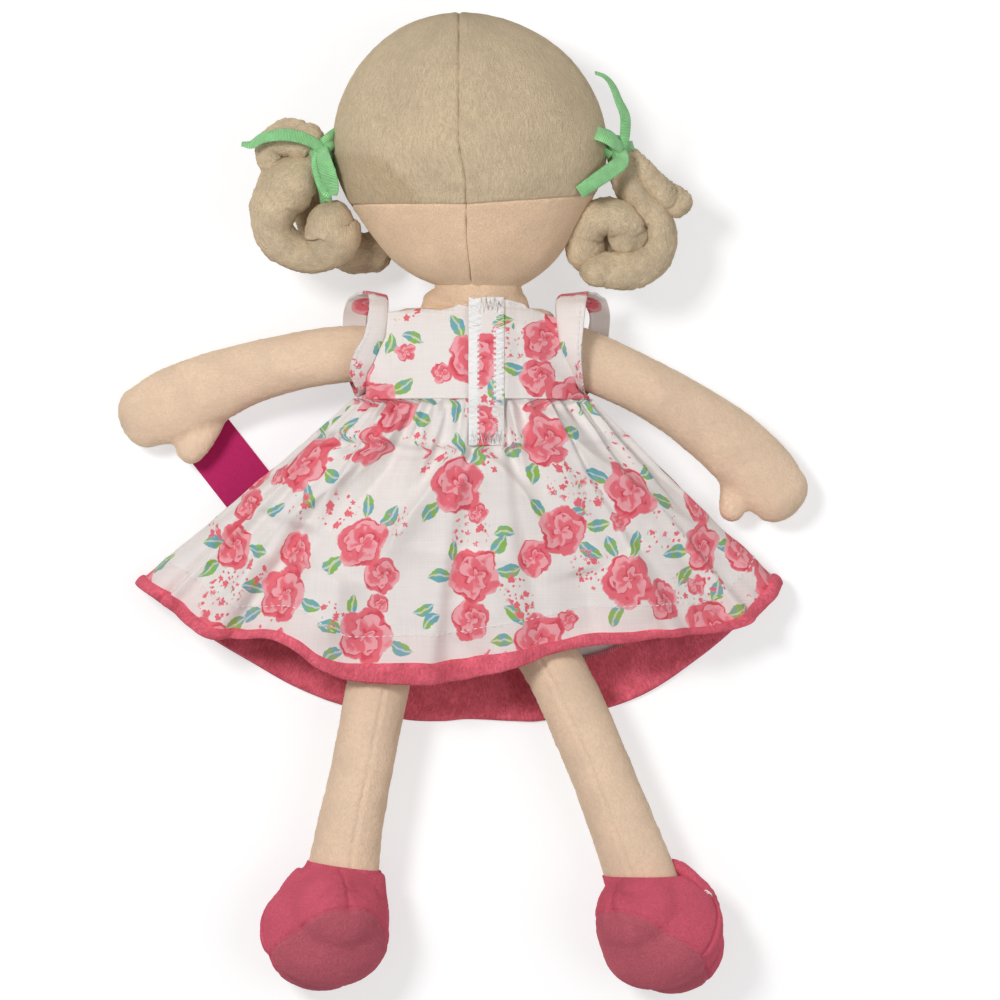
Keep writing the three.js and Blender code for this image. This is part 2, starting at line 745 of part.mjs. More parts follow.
// Ribbon: a ring round the lock at the tie, a knot and three bands
const leftBandShares = [
  [
    [-0.03, 0.02, 0.19],
    [-0.2, 0.113, 0.32],
    [-0.373, 0.147, 0.33],
    [-0.563, 0.121, 0.28],
    [-0.702, 0.061, 0.2],
  ],
  [[0.02, -0.01, 0.19], [0.06, -0.14, 0.27], [0.1, -0.27, 0.24], [0.11, -0.4, 0.12]],
  [[-0.01, -0.02, 0.17], [-0.03, -0.2, 0.22], [0.01, -0.36, 0.16], [0.01, -0.47, 0.06]],
];
const rightBandShares = [
  [[0.03, 0.02, 0.19], [0.07, 0.2, 0.26], [0.02, 0.4, 0.36], [-0.09, 0.56, 0.42], [-0.2, 0.62, 0.45]],
  [[0.02, -0.03, 0.19], [-0.1, -0.2, 0.36], [-0.329, -0.355, 0.5]],
  [[-0.01, 0.02, 0.19], [-0.08, 0.06, 0.32], [-0.17, 0.05, 0.36]],
];

function ribbonForm(tie, firstLock, bandShares) {
  const alongLock = new THREE.Vector3(firstLock[1][0], firstLock[1][1], 0).normalize();
  const ringInside = lockRootRadius + 2 * gap + ribbonThickness;
  const outer = bar(tie, alongLock, ringInside + ribbonThickness, ribbonWidth / 2, lockAround);
  const inner = bar(tie, alongLock, ringInside, ribbonWidth, lockAround);
  const knotSphere = new THREE.SphereGeometry(knotRadius, lockAround, ribbonSteps);
  const knot = solidOf(knotSphere.translate(tie.x, tie.y, tie.z + ringInside + ribbonThickness));
  const bands = bandShares.map((shares) => {
    const points = shares.map((share) => placeFrom(tie, share));
    const ups = points.map(() => zAxis.clone());
    return band(points, ribbonWidth, ribbonThickness, ups);
  });
  return united([outer.subtract(inner), knot, ...bands]);
}

// Bodice: panels of cloth round the torso, closed at the back by two tapes one over the other
const panelInside = gap;
const panelOutside = gap + clothThickness;
const neckline = shoulderHeight - gap;
const torsoLayer = (inside, thickness) => torsoForm(inside + thickness).subtract(torsoForm(inside));
const bodiceFarX = 2 * torsoHalfWidth;
const bodiceBox = (left, right, low, high) =>
  prism([[left, gap / 2], [right, gap / 2], [right, neckline], [left, neckline]], low, high);
const backOfBody = torsoLift + gap / 2;
const backTop = torsoLift + 2 * torsoHalfDepth;
const frontOfBody = torsoLift - gap / 2;
const placketEnd = placketStart + placketWidth;
const loopInside = panelOutside + gap;
const hookInside = loopInside + tapeThickness + gap;
const flapInside = hookInside + tapeThickness + gap;

// Sleeves: a frill band round each armhole
function sleeveForm(side) {
  const middle = sleeveHalfHeight + jointClearance + gap;
  return shell(sleeveAround, 1, clothThickness, (turn, share) => {
    const rise = Math.cos(turn);
    const out = shoulderSpread + sleeveOut - sleeveLean * rise + (share - 1 / 2) * sleeveWidth;
    const lift = shoulderLift + side * sleeveHalfDepth * Math.sin(turn);
    return new THREE.Vector3(side * out, middle + sleeveHalfHeight * rise, lift);
  });
}

// Skirt and hem: the back layer arches over the legs and the front layer lies flat. The hem's
// drop below the side corners is a table of shares across the skirt, from left to right.
const hemBackShares = [
  [-1, 0],
  [-0.8, 0.32],
  [-0.57, 0.38],
  [-0.36, 0.66],
  [-0.1, 0.7],
  [0.1, 0.62],
  [0.3, 0.46],
  [0.7, 0.34],
  [0.88, 0.27],
  [1, 0],
];
const hemFrontShares = [
  [-1, 0],
  [-0.77, 0.39],
  [-0.51, 0.75],
  [-0.17, 0.98],
  [0.25, 1],
  [0.47, 0.9],
  [0.61, 0.76],
  [0.83, 0.36],
  [1, 0],
];
const hemBack = splineOf(hemBackShares);
const hemFront = splineOf(hemFrontShares);
// Folds of the back layer: place across, width and depth as shares
const foldShares = [
  [-0.66, 0.1, -0.9],
  [-0.48, 0.09, 0.8],
  [-0.02, 0.08, -0.8],
  [0.5, 0.1, -0.7],
  [0.68, 0.1, 0.6],
];
const waistWidth = torsoHalfWidth + panelOutside;
const waistDepth = torsoHalfDepth + panelOutside;
function skirtSurface(turn, share) {
  const across = Math.sin(turn);
  const back = Math.cos(turn);
  const drop = back > 0 ? hemBack(across)[1] : hemFront(across)[1];
  const hemX = skirtShift + skirtHalfWidth * across;
  const hemY = -skirtSideDrop - hemReach * drop;
  const sidePower = 0.45;
  const roof = back > 0 ? back : -(Math.abs(back) ** sidePower);
  const hemRise = back > 0 ? skirtBackRise : skirtSideLift - skirtFrontLift;
  const settle = 1 - (1 - share) ** 2;
  const archPower = 1.6;
  const waistZ = torsoLift + waistDepth * back;
  let hemZ = skirtSideLift + roof * hemRise;
  for (const [at, spread, deep] of foldShares) {
    const off = (across - at) / spread;
    if (back > 0) hemZ += deep * foldDepth * Math.exp(-off * off) * Math.min(1, 2 * back);
  }
  const drawn = back > 0 ? Math.max(share, 0) ** archPower : settle;
  return new THREE.Vector3(
    waistWidth * across + (hemX - waistWidth * across) * share,
    -gap / 2 + (hemY + gap / 2) * share,
    waistZ + (hemZ - waistZ) * drawn,
  );
}

const skirtLength = (turn) => skirtSurface(turn, 0).distanceTo(skirtSurface(turn, 1));
const hemShare = (turn, height) => 1 - height / skirtLength(turn);
const skirt = shell(skirtAround, skirtRows, clothThickness, (turn, share) =>
  skirtSurface(turn, share * hemShare(turn, hemBandHeight + gap)),
);
const hemBand = shell(skirtAround, 1, plushThickness, (turn, share) => {
  const start = hemShare(turn, hemBandHeight);
  return skirtSurface(turn, start + (1 - start) * share);
});

// The whole doll, with each piece cut to clear the larger ones
const leftArmForm = (grow) => armForm(leftShoulder, leftArmShares, leftThumbShares, grow);
const rightArmForm = (grow) => armForm(rightShoulder, rightArmShares, rightThumbShares, grow);
const leftArmAxis = swingAxis(leftArmShares);
const rightArmAxis = swingAxis(rightArmShares);
function legForm(hip, legShares) {
  const stations = stationsFrom(hip, legLength, hipLift, legHalfWidth, legHalfDepth, legShares);
  return stuffedTube(stations, { around: limbAround, rows: legRows, flatStart: true });
}
const armRoom = (margin) => [
  rootRoom(leftShoulder, leftArmAxis, armHalfDepth, armHalfWidth, margin),
  rootRoom(rightShoulder, rightArmAxis, armHalfDepth, armHalfWidth, margin),
];
const neckRoom = (margin) => rootRoom(neckPivot, xAxis, neckHalfDepth, neckHalfWidth, margin);
const neckSwings = (margin) => nodTilts.map((tilt) => neckTube(margin, tilt));
const armSwings = armTilts.flatMap((tilt) => [
  turned(leftArmForm(gap), leftShoulder, leftArmAxis, tilt),
  turned(rightArmForm(gap), rightShoulder, rightArmAxis, tilt),
]);
const torso = cutBy(torsoForm(0), [...armRoom(gap), ...armSwings, neckRoom(gap), ...neckSwings(2 * gap)]);

// Bodice panels
const panelRoom = [...armRoom(armholeClearance), neckRoom(4 * gap), ...neckSwings(3 * gap)];
const panelOf = (inside, thickness, box) => cutBy(torsoLayer(inside, thickness).intersect(box), panelRoom);
const backPanel = (inside, thickness, left, right) =>
  panelOf(inside, thickness, bodiceBox(left, right, backOfBody, backTop));
const frontBox = bodiceBox(-bodiceFarX, bodiceFarX, -backTop, frontOfBody);
const bodiceFront = panelOf(panelInside, clothThickness, frontBox);
const bodiceBackLeft = backPanel(panelInside, clothThickness, -bodiceFarX, placketEnd);
const loopTape = backPanel(loopInside, tapeThickness, placketStart, placketEnd);
const hookTape = backPanel(hookInside, tapeThickness, placketStart, placketEnd);
const flapFold = placketEnd + gap;
const bodiceBackRight = united([
  backPanel(panelInside, clothThickness, flapFold, bodiceFarX),
  backPanel(panelInside, flapInside + clothThickness - panelInside, flapFold, flapFold + clothThickness),
  backPanel(flapInside, clothThickness, placketStart, flapFold + clothThickness),
]);

// Sleeves stay outside the bodice and the arms
const bodiceSpace = torsoForm(panelOutside + gap);
const leftSleeve = cutBy(sleeveForm(-1), [bodiceSpace, leftArmForm(gap)]);
const rightSleeve = cutBy(sleeveForm(1), [bodiceSpace, rightArmForm(gap)]);

// Shoes at the ends of the legs
const leftFootShares = [-0.249, -1.187];
const rightFootShares = [0.482, -1.197];
const footCentre = (hip, [x, y]) => new THREE.Vector3(hip.x + x * legLength, hip.y + y * legLength, 0);
const leftShoe = shoeParts(footCentre(leftHip, leftFootShares), leftFootTurn);
const rightShoe = shoeParts(footCentre(rightHip, rightFootShares), rightFootTurn);
const leftLeg = legForm(leftHip, leftLegShares).subtract(leftShoe.whole);
const rightLeg = legForm(rightHip, rightLegShares).subtract(rightShoe.whole);

// Bunches and ribbons: each lock is cut by the head and by the larger locks
function bunchParts(tie, lockShares, ballShares, bandShares) {
  const forms = lockShares.map((shares, index) => (grow) => {
    const tube = lockForm(tie, shares, lockRows, grow);
    return index === 0 && ballShares ? tube.add(lockForm(tie, ballShares, ballRows, grow)) : tube;
  });
  const head = headForm(gap);
  const locks = forms.map((form, index) =>
    cutBy(form(0), [head, ...forms.slice(0, index).map((larger) => larger(gap))]),
  );
  const ribbon = cutBy(ribbonForm(tie, lockShares[0], bandShares), [head, ...forms.map((form) => form(gap))]);
  return { locks, ribbon };
}

const leftBunch = bunchParts(leftTie, leftLockShares, leftBallShares, leftBandShares);
const rightBunch = bunchParts(rightTie, rightLockShares, null, rightBandShares);

// Card tag and the plastic fastener that holds it under the palm
const tagPinShares = [-0.69, -0.224];
const tagPin = new THREE.Vector3(
  leftShoulder.x + tagPinShares[0] * armLength,
  leftShoulder.y + tagPinShares[1] * armLength,
  tagLift,
);
const tagAlong = new THREE.Vector3(Math.cos(tagTurn), Math.sin(tagTurn), 0);
function cardTag() {
  const geometry = new THREE.BoxGeometry(tagLength, tagWidth, tagThickness);
  geometry.translate(tagLength / 2 - tagPinInset, 0, tagThickness / 2);
  geometry.rotateZ(tagTurn);
  geometry.translate(tagPin.x, tagPin.y, tagPin.z);
  return solidOf(geometry).subtract(bar(tagPin, zAxis, tagHoleRadius, cutOverrun, roundSides));
}

function fastener(grow) {
  const headThickness = tagLift - gap;
  const top = new THREE.Vector3(tagPin.x, tagPin.y, fastenerLength);
  const middle = new THREE.Vector3(tagPin.x, tagPin.y, fastenerLength / 2);
  const foot = new THREE.Vector3(tagPin.x, tagPin.y, headThickness / 2);
  return united([
    bar(middle, zAxis, fastenerRadius + grow, fastenerLength, pinSides),
    bar(top, tagAlong, fastenerRadius + grow, fastenerBarLength + 2 * grow, pinSides),
    bar(foot, zAxis, fastenerHeadRadius, headThickness, roundSides),
  ]);
}

// The figure as a tree of groups, one at each joint
const figure = new THREE.Group();
figure.name = 'body';
const pivots = new Map([[figure, new THREE.Vector3()]]);
function jointGroup(name, parent, pivot) {
  const group = new THREE.Group();
  group.name = name;
  group.position.copy(pivot).sub(pivots.get(parent));
  pivots.set(group, pivot);
  parent.add(group);
  return group;
}

function part(group, name, solid, material) {
  const pivot = pivots.get(group);
  const mesh = new THREE.Mesh(geometryOf(solid).translate(-pivot.x, -pivot.y, -pivot.z), material);
  mesh.name = name;
  group.add(mesh);
}

const neckGroup = jointGroup('neck_joint', figure, neckPivot);
const headPivot = new THREE.Vector3(neckTopShares.shift * neckHalfWidth, neckSeam, headLift);
const head = jointGroup('head_joint', neckGroup, headPivot);
const leftBunchGroup = jointGroup('left_bunch_joint', head, leftTie);
const rightBunchGroup = jointGroup('right_bunch_joint', head, rightTie);
const leftArm = jointGroup('left_arm_joint', figure, leftShoulder);
const rightArm = jointGroup('right_arm_joint', figure, rightShoulder);
const tagGroup = jointGroup('tag_joint', leftArm, tagPin);
const leftLegGroup = jointGroup('left_leg_joint', figure, leftHip);
const rightLegGroup = jointGroup('right_leg_joint', figure, rightHip);

part(head, 'head_stuffing', headStuffing, skinPlush());
part(head, 'hair_back_left', backHair.intersect(seamLeft), hairPlush());
part(head, 'hair_back_right', backHair.intersect(seamRight), hairPlush());
part(head, 'nape_left', nape.intersect(seamLeft), skinPlush());
part(head, 'nape_right', nape.intersect(seamRight), skinPlush());
part(head, 'face_panel', facePanel, skinPlush());
part(head, 'fringe_left', fringeLeft, hairPlush());
part(head, 'fringe_right', fringeRight, hairPlush());
part(head, 'hair_flower', flowerSolid(), crimsonFelt());

for (const [side, group, bunch] of [
  ['left', leftBunchGroup, leftBunch],
  ['right', rightBunchGroup, rightBunch],
]) {
  bunch.locks.forEach((lock, index) => part(group, `${side}_curl_${index + 1}`, lock, hairPlush()));
  part(group, `${side}_ribbon`, bunch.ribbon, greenRibbon());
}

part(neckGroup, 'neck', neckStub, skinPlush());
part(figure, 'torso', torso, skinPlush());
part(leftArm, 'left_arm', leftArmForm(0).subtract(fastener(gap)), skinPlush());
part(rightArm, 'right_arm', rightArmForm(0), skinPlush());
part(leftArm, 'tag_fastener', fastener(0), clearPlastic());
part(tagGroup, 'card_tag', cardTag(), magentaCard());

for (const [side, group, leg, shoe] of [
  ['left', leftLegGroup, leftLeg, leftShoe],
  ['right', rightLegGroup, rightLeg, rightShoe],
]) {
  part(group, `${side}_leg`, leg, skinPlush());
  part(group, `${side}_shoe_upper`, shoe.upper, pinkPlush());
  part(group, `${side}_shoe_sole`, shoe.sole, pinkPlush());
  part(group, `${side}_shoe_strap`, shoe.strap, pinkPlush());
}

part(figure, 'bodice_front', bodiceFront, printedCotton());
part(figure, 'bodice_back_left', bodiceBackLeft, printedCotton());
part(figure, 'bodice_back_right', bodiceBackRight, printedCotton());
part(figure, 'loop_tape', loopTape, whiteTape());
part(figure, 'hook_tape', hookTape, whiteTape());
part(figure, 'left_sleeve', leftSleeve, printedCotton());
part(figure, 'right_sleeve', rightSleeve, printedCotton());
part(figure, 'skirt', skirt, printedCotton());
part(figure, 'hem_band', hemBand, pinkPlush());

// The origin lies under the middle of the whole doll
const bounds = new THREE.Box3().setFromObject(figure);
const middle = bounds.getCenter(new THREE.Vector3());
figure.position.set(-middle.x, -middle.y, -bounds.min.z);
const doll = new THREE.Group();
doll.add(figure);

export default doll;
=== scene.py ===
import math

import bmesh
import bpy
import numpy as np
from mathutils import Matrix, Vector
from mathutils.bvhtree import BVHTree
from bpy.props import FloatProperty, FloatVectorProperty, PointerProperty


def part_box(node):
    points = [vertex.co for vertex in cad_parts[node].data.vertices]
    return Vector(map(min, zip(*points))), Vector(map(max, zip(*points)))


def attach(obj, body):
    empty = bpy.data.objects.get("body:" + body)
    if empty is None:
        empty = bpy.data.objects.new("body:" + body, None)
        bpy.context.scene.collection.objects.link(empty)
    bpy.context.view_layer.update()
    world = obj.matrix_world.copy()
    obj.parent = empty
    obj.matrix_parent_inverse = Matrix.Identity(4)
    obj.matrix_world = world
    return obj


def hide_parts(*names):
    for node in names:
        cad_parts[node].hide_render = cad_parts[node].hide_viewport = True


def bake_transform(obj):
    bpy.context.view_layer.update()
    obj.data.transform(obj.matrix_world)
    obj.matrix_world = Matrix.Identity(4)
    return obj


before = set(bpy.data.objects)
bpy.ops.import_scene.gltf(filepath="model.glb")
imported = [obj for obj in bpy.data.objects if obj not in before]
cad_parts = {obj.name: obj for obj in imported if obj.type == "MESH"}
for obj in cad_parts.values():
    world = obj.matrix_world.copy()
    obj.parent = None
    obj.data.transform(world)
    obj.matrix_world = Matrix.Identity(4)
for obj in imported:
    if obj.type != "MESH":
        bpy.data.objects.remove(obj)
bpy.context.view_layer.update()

bl_info = {
    "name": "Rag doll",
    "version": (1, 0, 0),
    "blender": (4, 5, 0),
    "location": "View3D > Sidebar > Rag doll",
    "description": "A stuffed rag doll in a printed cotton dress, lying face down",
    "category": "Object",
}

# Sizes in this file are metres, with +Y towards the doll's head and +Z up from the floor
MM = 0.001
# The doll's own middle line and waist height, from which the shares below are measured
MIDDLE_X = 3.96 * MM
BASE_Y = 41.933 * MM


def length(name, description, default):
    """A property that holds a length in metres."""
    return FloatProperty(name=name, description=description, default=default, unit="LENGTH", precision=5)


def colour(name, description, rgb):
    """A property that holds a colour as it looks on a screen."""
    values = [channel / 255 for channel in rgb]
    return FloatVectorProperty(
        name=name, description=description, subtype="COLOR_GAMMA", size=3, min=0, max=1, default=values
    )


class DollSizes(bpy.types.PropertyGroup):
    """Sizes of the doll's forms."""

    head_half_width: length("Head half width", "Half of the head's width at its widest", 0.0532)
    head_height: length("Head height", "From the neck seam to the crown", 0.1064)
    head_half_depth: length("Head half depth", "Half of the head's depth from face to back", 0.040)
    arm_length: length("Arm length", "The length that the arm's stations are shares of", 0.105)
    leg_length: length("Leg length", "The length that the leg's stations are shares of", 0.112)
    bunch_length: length("Bunch length", "The length that the curls' stations are shares of", 0.045)
    pile: length("Pile", "How far the pile roughens the plush", 0.00035)
    skirt_half_width: length("Skirt half width", "Half of the hem's spread", 0.127)
    ribbon_width: length("Ribbon width", "Width of the ribbons in the bunches", 0.0062)


class DollColours(bpy.types.PropertyGroup):
    """Colours of the doll's cloths."""

    hair: colour("Hair", "Plush of the hair", (219, 197, 165))
    skin: colour("Skin", "Plush of the head, arms and legs", (238, 208, 180))
    nape: colour("Nape", "Plush of the nape, a little pinker", (240, 206, 174))
    pink: colour("Pink plush", "Plush of the shoes and the hem", (225, 100, 121))
    # The hem's plush is set lighter than the shoes' pink of the same cloth: painted light that makes up for
    # the shade under the skirt where the facing lies
    facing: colour("Hem facing", "Deeper pink plush inside the hem", (255, 112, 130))
    cotton: colour("Cotton ground", "Ground of the printed cotton", (248, 240, 236))
    bloom: colour("Bloom", "Flowers of the print", (240, 117, 130))
    bloom_pale: colour("Pale bloom", "Lights on the printed flowers", (249, 184, 190))
    leaf_blue: colour("Blue leaf", "Cooler leaves of the print", (118, 178, 190))
    leaf_green: colour("Green leaf", "Warmer leaves of the print", (148, 192, 92))
    ribbon: colour("Ribbon", "Grosgrain ribbon", (160, 234, 158))
    thread: colour("Thread", "Sewing thread and tape", (250, 249, 248))
    card: colour("Card", "Card tag", (186, 22, 96))
    flower: colour("Hair flower", "Small fabric flower", (190, 30, 60))


# Numbers and shapes


def linear(rgb):
    """A screen colour as the linear colour that shaders take."""
    return tuple(c / 12.92 if c <= 0.04045 else ((c + 0.055) / 1.055) ** 2.4 for c in rgb) + (1.0,)


def smooth_step(x):
    """0 below 0, 1 above 1, and smooth between."""
    x = np.clip(x, 0, 1)
    return x * x * (3 - 2 * x)


def spline(table, at):
    """Rows of a table read at shares of its first column, on a smooth curve through them."""
    table, at = np.asarray(table, float), np.asarray(at, float)
    high = np.clip(np.searchsorted(table[:, 0], at), 1, len(table) - 1)
    before, low = np.clip(high - 2, 0, None), high - 1
    after = np.clip(high + 1, None, len(table) - 1)
    start, end = table[low], table[high]
    span = end[..., :1] - start[..., :1]
    part = np.clip((at[..., None] - start[..., :1]) / span, 0, 1)
    lean_in = (end - table[before]) / (end[..., :1] - table[before][..., :1]) * span
    lean_out = (table[after] - start) / (table[after][..., :1] - start[..., :1]) * span
    keep = 2 * part**3 - 3 * part**2 + 1
    return (
        keep * start
        + (part**3 - 2 * part**2 + part) * lean_in
        + (1 - keep) * end
        + (part**3 - part**2) * lean_out
    )


def curve_through(rows, count):
    """Points at even steps on a curve through the rows."""
    rows = np.asarray(rows, float)
    rows = np.column_stack([np.linspace(0, 1, len(rows)), rows])
    return spline(rows, np.linspace(0, 1, count))[:, 1:]


def unit(vectors):
    """Vectors drawn to a length of one."""
    return vectors / np.maximum(np.linalg.norm(vectors, axis=-1, keepdims=True), 1e-9)


def travel_along(line):
    """Distance along a line at each of its points."""
    return np.concatenate([[0], np.cumsum(np.linalg.norm(np.diff(line, axis=0), axis=1))])


def points_at(line, travel, at):
    """Points of a line at some distances along it."""
    return np.stack([np.interp(at, travel, line[:, axis]) for axis in range(3)], 1)


def turns_round(count):
    """Turns at even steps round a ring, from its underside."""
    return -math.pi / 2 + np.arange(count) / count * 2 * math.pi


_lattices = {}


def noise(points, size, seed=0):
    """Smooth noise from -1 to 1 at the points, with bumps of about the given size."""
    if seed not in _lattices:
        _lattices[seed] = np.random.default_rng(seed).uniform(-1, 1, (32, 32, 32))
    lattice = _lattices[seed]
    at = np.asarray(points, float) / size
    cell = np.floor(at).astype(int)
    part = at - cell
    part = part * part * (3 - 2 * part)
    total = 0
    for corner in np.ndindex(2, 2, 2):
        weight = np.prod(np.where(np.array(corner) == 1, part, 1 - part), axis=-1)
        index = (cell + np.array(corner)) % 32
        total = total + weight * lattice[index[..., 0], index[..., 1], index[..., 2]]
    return total


def linked(name, mesh, material):
    """A smooth object for a mesh, put in the scene."""
    mesh.polygons.foreach_set("use_smooth", np.ones(len(mesh.polygons), bool))
    mesh.materials.append(material)
    thing = bpy.data.objects.new(name, mesh)
    bpy.context.scene.collection.objects.link(thing)
    return thing


def new_object(name, points, faces, material, uvs=None):
    """An object from points and faces of one size, with texture places for each corner."""
    points, faces = np.asarray(points, float), np.asarray(faces, int)
    mesh = bpy.data.meshes.new(name)
    mesh.from_pydata(points.tolist(), [], faces.tolist())
    if uvs is not None:
        layer = mesh.uv_layers.new(name="UVMap")
        corners = np.asarray(uvs, float).reshape(-1, 2)
        layer.data.foreach_set("uv", corners.ravel().astype(np.float32))
    return linked(name, mesh, material)


def grid_faces(rows, columns, wrap):
    """Faces of a grid of points, and for each corner its row and its unwrapped column."""
    row, column = np.meshgrid(np.arange(rows - 1), np.arange(columns - (0 if wrap else 1)), indexing="ij")
    row, column = row.ravel(), column.ravel()
    corner_rows = np.stack([row, row, row + 1, row + 1], 1)
    corner_columns = np.stack([column, column + 1, column + 1, column], 1)
    faces = corner_rows * columns + corner_columns % columns
    return faces, corner_rows, corner_columns


def grid_object(name, grid, material, wrap=False, flip=False, uv=None):
    """An object from a grid of points. Its texture places are lengths along the grid in metres."""
    grid = np.asarray(grid, float)
    rows, columns = grid.shape[:2]
    faces, corner_rows, corner_columns = grid_faces(rows, columns, wrap)
    if uv is None:
        closed = np.concatenate([grid, grid[:, :1]], 1) if wrap else grid
        across = np.linalg.norm(np.diff(closed, axis=1), axis=2).mean(0)
        along = np.linalg.norm(np.diff(grid, axis=0), axis=2).mean(1)
        u = np.concatenate([[0], np.cumsum(across)])
        v = np.concatenate([[0], np.cumsum(along)])
        uv = np.stack(np.broadcast_arrays(u[None, :], v[:, None]), 2)
    corners = uv[corner_rows, corner_columns]
    if flip:
        faces, corners = faces[:, ::-1], corners[:, ::-1]
    return new_object(name, grid.reshape(-1, 3), faces, material, corners)


def normals_of(thing):
    """The direction out of the surface at each point of an object."""
    values = np.zeros(len(thing.data.vertices) * 3, np.float32)
    thing.data.vertices.foreach_get("normal", values)
    return values.reshape(-1, 3).astype(float)


def points_of(thing):
    """The points of an object's mesh."""
    values = np.zeros(len(thing.data.vertices) * 3, np.float32)
    thing.data.vertices.foreach_get("co", values)
    return values.reshape(-1, 3).astype(float)


def move_points(thing, points):
    """Gives an object's mesh new places for its points, none below the floor."""
    points = points.copy()
    points[:, 2] = np.maximum(points[:, 2], 0)
    thing.data.vertices.foreach_set("co", points.astype(np.float32).ravel())
    thing.data.update()


def roughen(thing, amount, seed, size=0.0016, slack=1.2):
    """Pile and soft stuffing: a fine roughness, and a slower swelling several times as wide."""
    points, out = points_of(thing), normals_of(thing)
    height = amount * noise(points, size, seed) + amount * 0.6 * noise(points, size * 0.55, seed + 1)
    height += amount * slack * noise(points, size * 6, seed + 2)
    move_points(thing, points + out * height[:, None])


def joined(parts, name):
    """One object made of several."""
    bpy.ops.object.select_all(action="DESELECT")
    for part in parts:
        part.select_set(True)
    bpy.context.view_layer.objects.active = parts[0]
    bpy.ops.object.join()
    bpy.ops.object.select_all(action="DESELECT")
    parts[0].name = name
    return parts[0]


def thicken(thing, thickness, offset):
    """Gives a sheet its thickness, all inside for an offset of -1 and half on each side for 0."""
    modifier = thing.modifiers.new("Thickness", "SOLIDIFY")
    modifier.thickness, modifier.offset = thickness, offset


def mark(thing, name, values):
    """Gives each point of an object a value that its material reads by name."""
    layer = thing.data.attributes.new(name, "FLOAT", "POINT")
    layer.data.foreach_set("value", values.astype(np.float32).ravel())


def settle(piece, body, slot, *nodes, fill=0):
    """Attaches a piece to the body that it rides on, and hides the solids that it replaces. Its material slot
    and its stuffing are not used.
    """
    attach(piece, body)
    if nodes:
        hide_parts(*nodes)


def opened(thing):
    """An object's mesh as one that can be cut."""
    work = bmesh.new()
    work.from_mesh(thing.data)
    return work


def sliced(work, place, direction, clear_low=False, clear_high=False):
    """Cuts a mesh along a plane, and clears what lies below or above it."""
    bmesh.ops.bisect_plane(
        work, geom=[*work.verts, *work.edges, *work.faces], plane_co=place, plane_no=direction,
        clear_inner=clear_low, clear_outer=clear_high,
    )


def fused(thing, voxel, rounds):
    """Gives an object of several parts one soft skin in place of theirs."""
    fuse = thing.modifiers.new("Fuse", "REMESH")
    fuse.mode, fuse.voxel_size, fuse.use_smooth_shade = "VOXEL", voxel, True
    ease = thing.modifiers.new("Ease", "SMOOTH")
    ease.factor, ease.iterations = 0.5, rounds
    graph = bpy.context.evaluated_depsgraph_get()
    mesh = bpy.data.meshes.new_from_object(thing.evaluated_get(graph))
    thing.modifiers.clear()
    thing.data = mesh
    mesh.polygons.foreach_set("use_smooth", np.ones(len(mesh.polygons), bool))


def cap_ends(thing):
    """Closes an object's open rims."""
    work = opened(thing)
    bmesh.ops.holes_fill(work, edges=[e for e in work.edges if e.is_boundary], sides=0)
    for face in work.faces:
        face.smooth = True
    work.to_mesh(thing.data)
    work.free()


def tube_rings(stations, around, along, cap=0, flat_start=False):
    """Rings of points round a curve through stations of x, y, z, half width and half depth."""
    line = curve_through(stations, along)
    path, sizes = line[:, :3], line[:, 3:5]
    tangent = unit(np.gradient(path, axis=0))
    rest = np.ones(along)
    push = np.zeros(along)
    if cap:
        bend = (np.arange(cap) + 0.35) / cap * math.pi / 2
        ends = [(tangent[0], path[0], sizes[0], -1), (tangent[-1], path[-1], sizes[-1], 1)]
        head, tail = (
            (np.repeat(t[None], cap, 0), np.repeat(p[None], cap, 0), np.repeat(s[None], cap, 0), sign)
            for t, p, s, sign in ends
        )
        tangent = np.concatenate([head[0], tangent, tail[0]])
        path = np.concatenate([head[1], path, tail[1]])
        sizes = np.concatenate([head[2], sizes, tail[2]])
        rest = np.concatenate([np.sin(bend), rest, np.sin(bend)[::-1]])
        push = np.concatenate([-np.cos(bend), push, np.cos(bend)[::-1]]) * sizes[:, 1]
    centre = path + tangent * push[:, None]
    side = unit(np.cross([0, 0, 1.0], tangent))
    up = np.cross(tangent, side)
    turn = turns_round(around)
    wide = rest.copy()
    if flat_start and cap:
        wide[:cap] = rest[:cap] ** 0.25
    sideways = np.cos(turn)[None, :] * (sizes[:, 0] * wide)[:, None]
    upwards = np.sin(turn)[None, :] * (sizes[:, 1] * rest)[:, None]
    return centre[:, None] - side[:, None] * sideways[..., None] + up[:, None] * upwards[..., None]


def soft_tube(name, stations, material, around=36, along=90, cap=8, flat_start=False, wrinkle=None):
    """A stuffed tube with round ends. wrinkle gives a change of radius at a row share and a turn."""
    rings = tube_rings(stations, around, along, cap, flat_start)
    if wrinkle is not None:
        rows = np.linspace(0, 1, len(rings))[:, None]
        turn = turns_round(around)[None, :]
        centre = rings.mean(1, keepdims=True)
        out = rings - centre
        size = np.linalg.norm(out, axis=2, keepdims=True)
        rings = centre + out * (1 + wrinkle(rows, turn)[..., None] / np.maximum(size, 0.001))
    thing = grid_object(name, rings, material, wrap=True, flip=True)
    cap_ends(thing)
    return thing


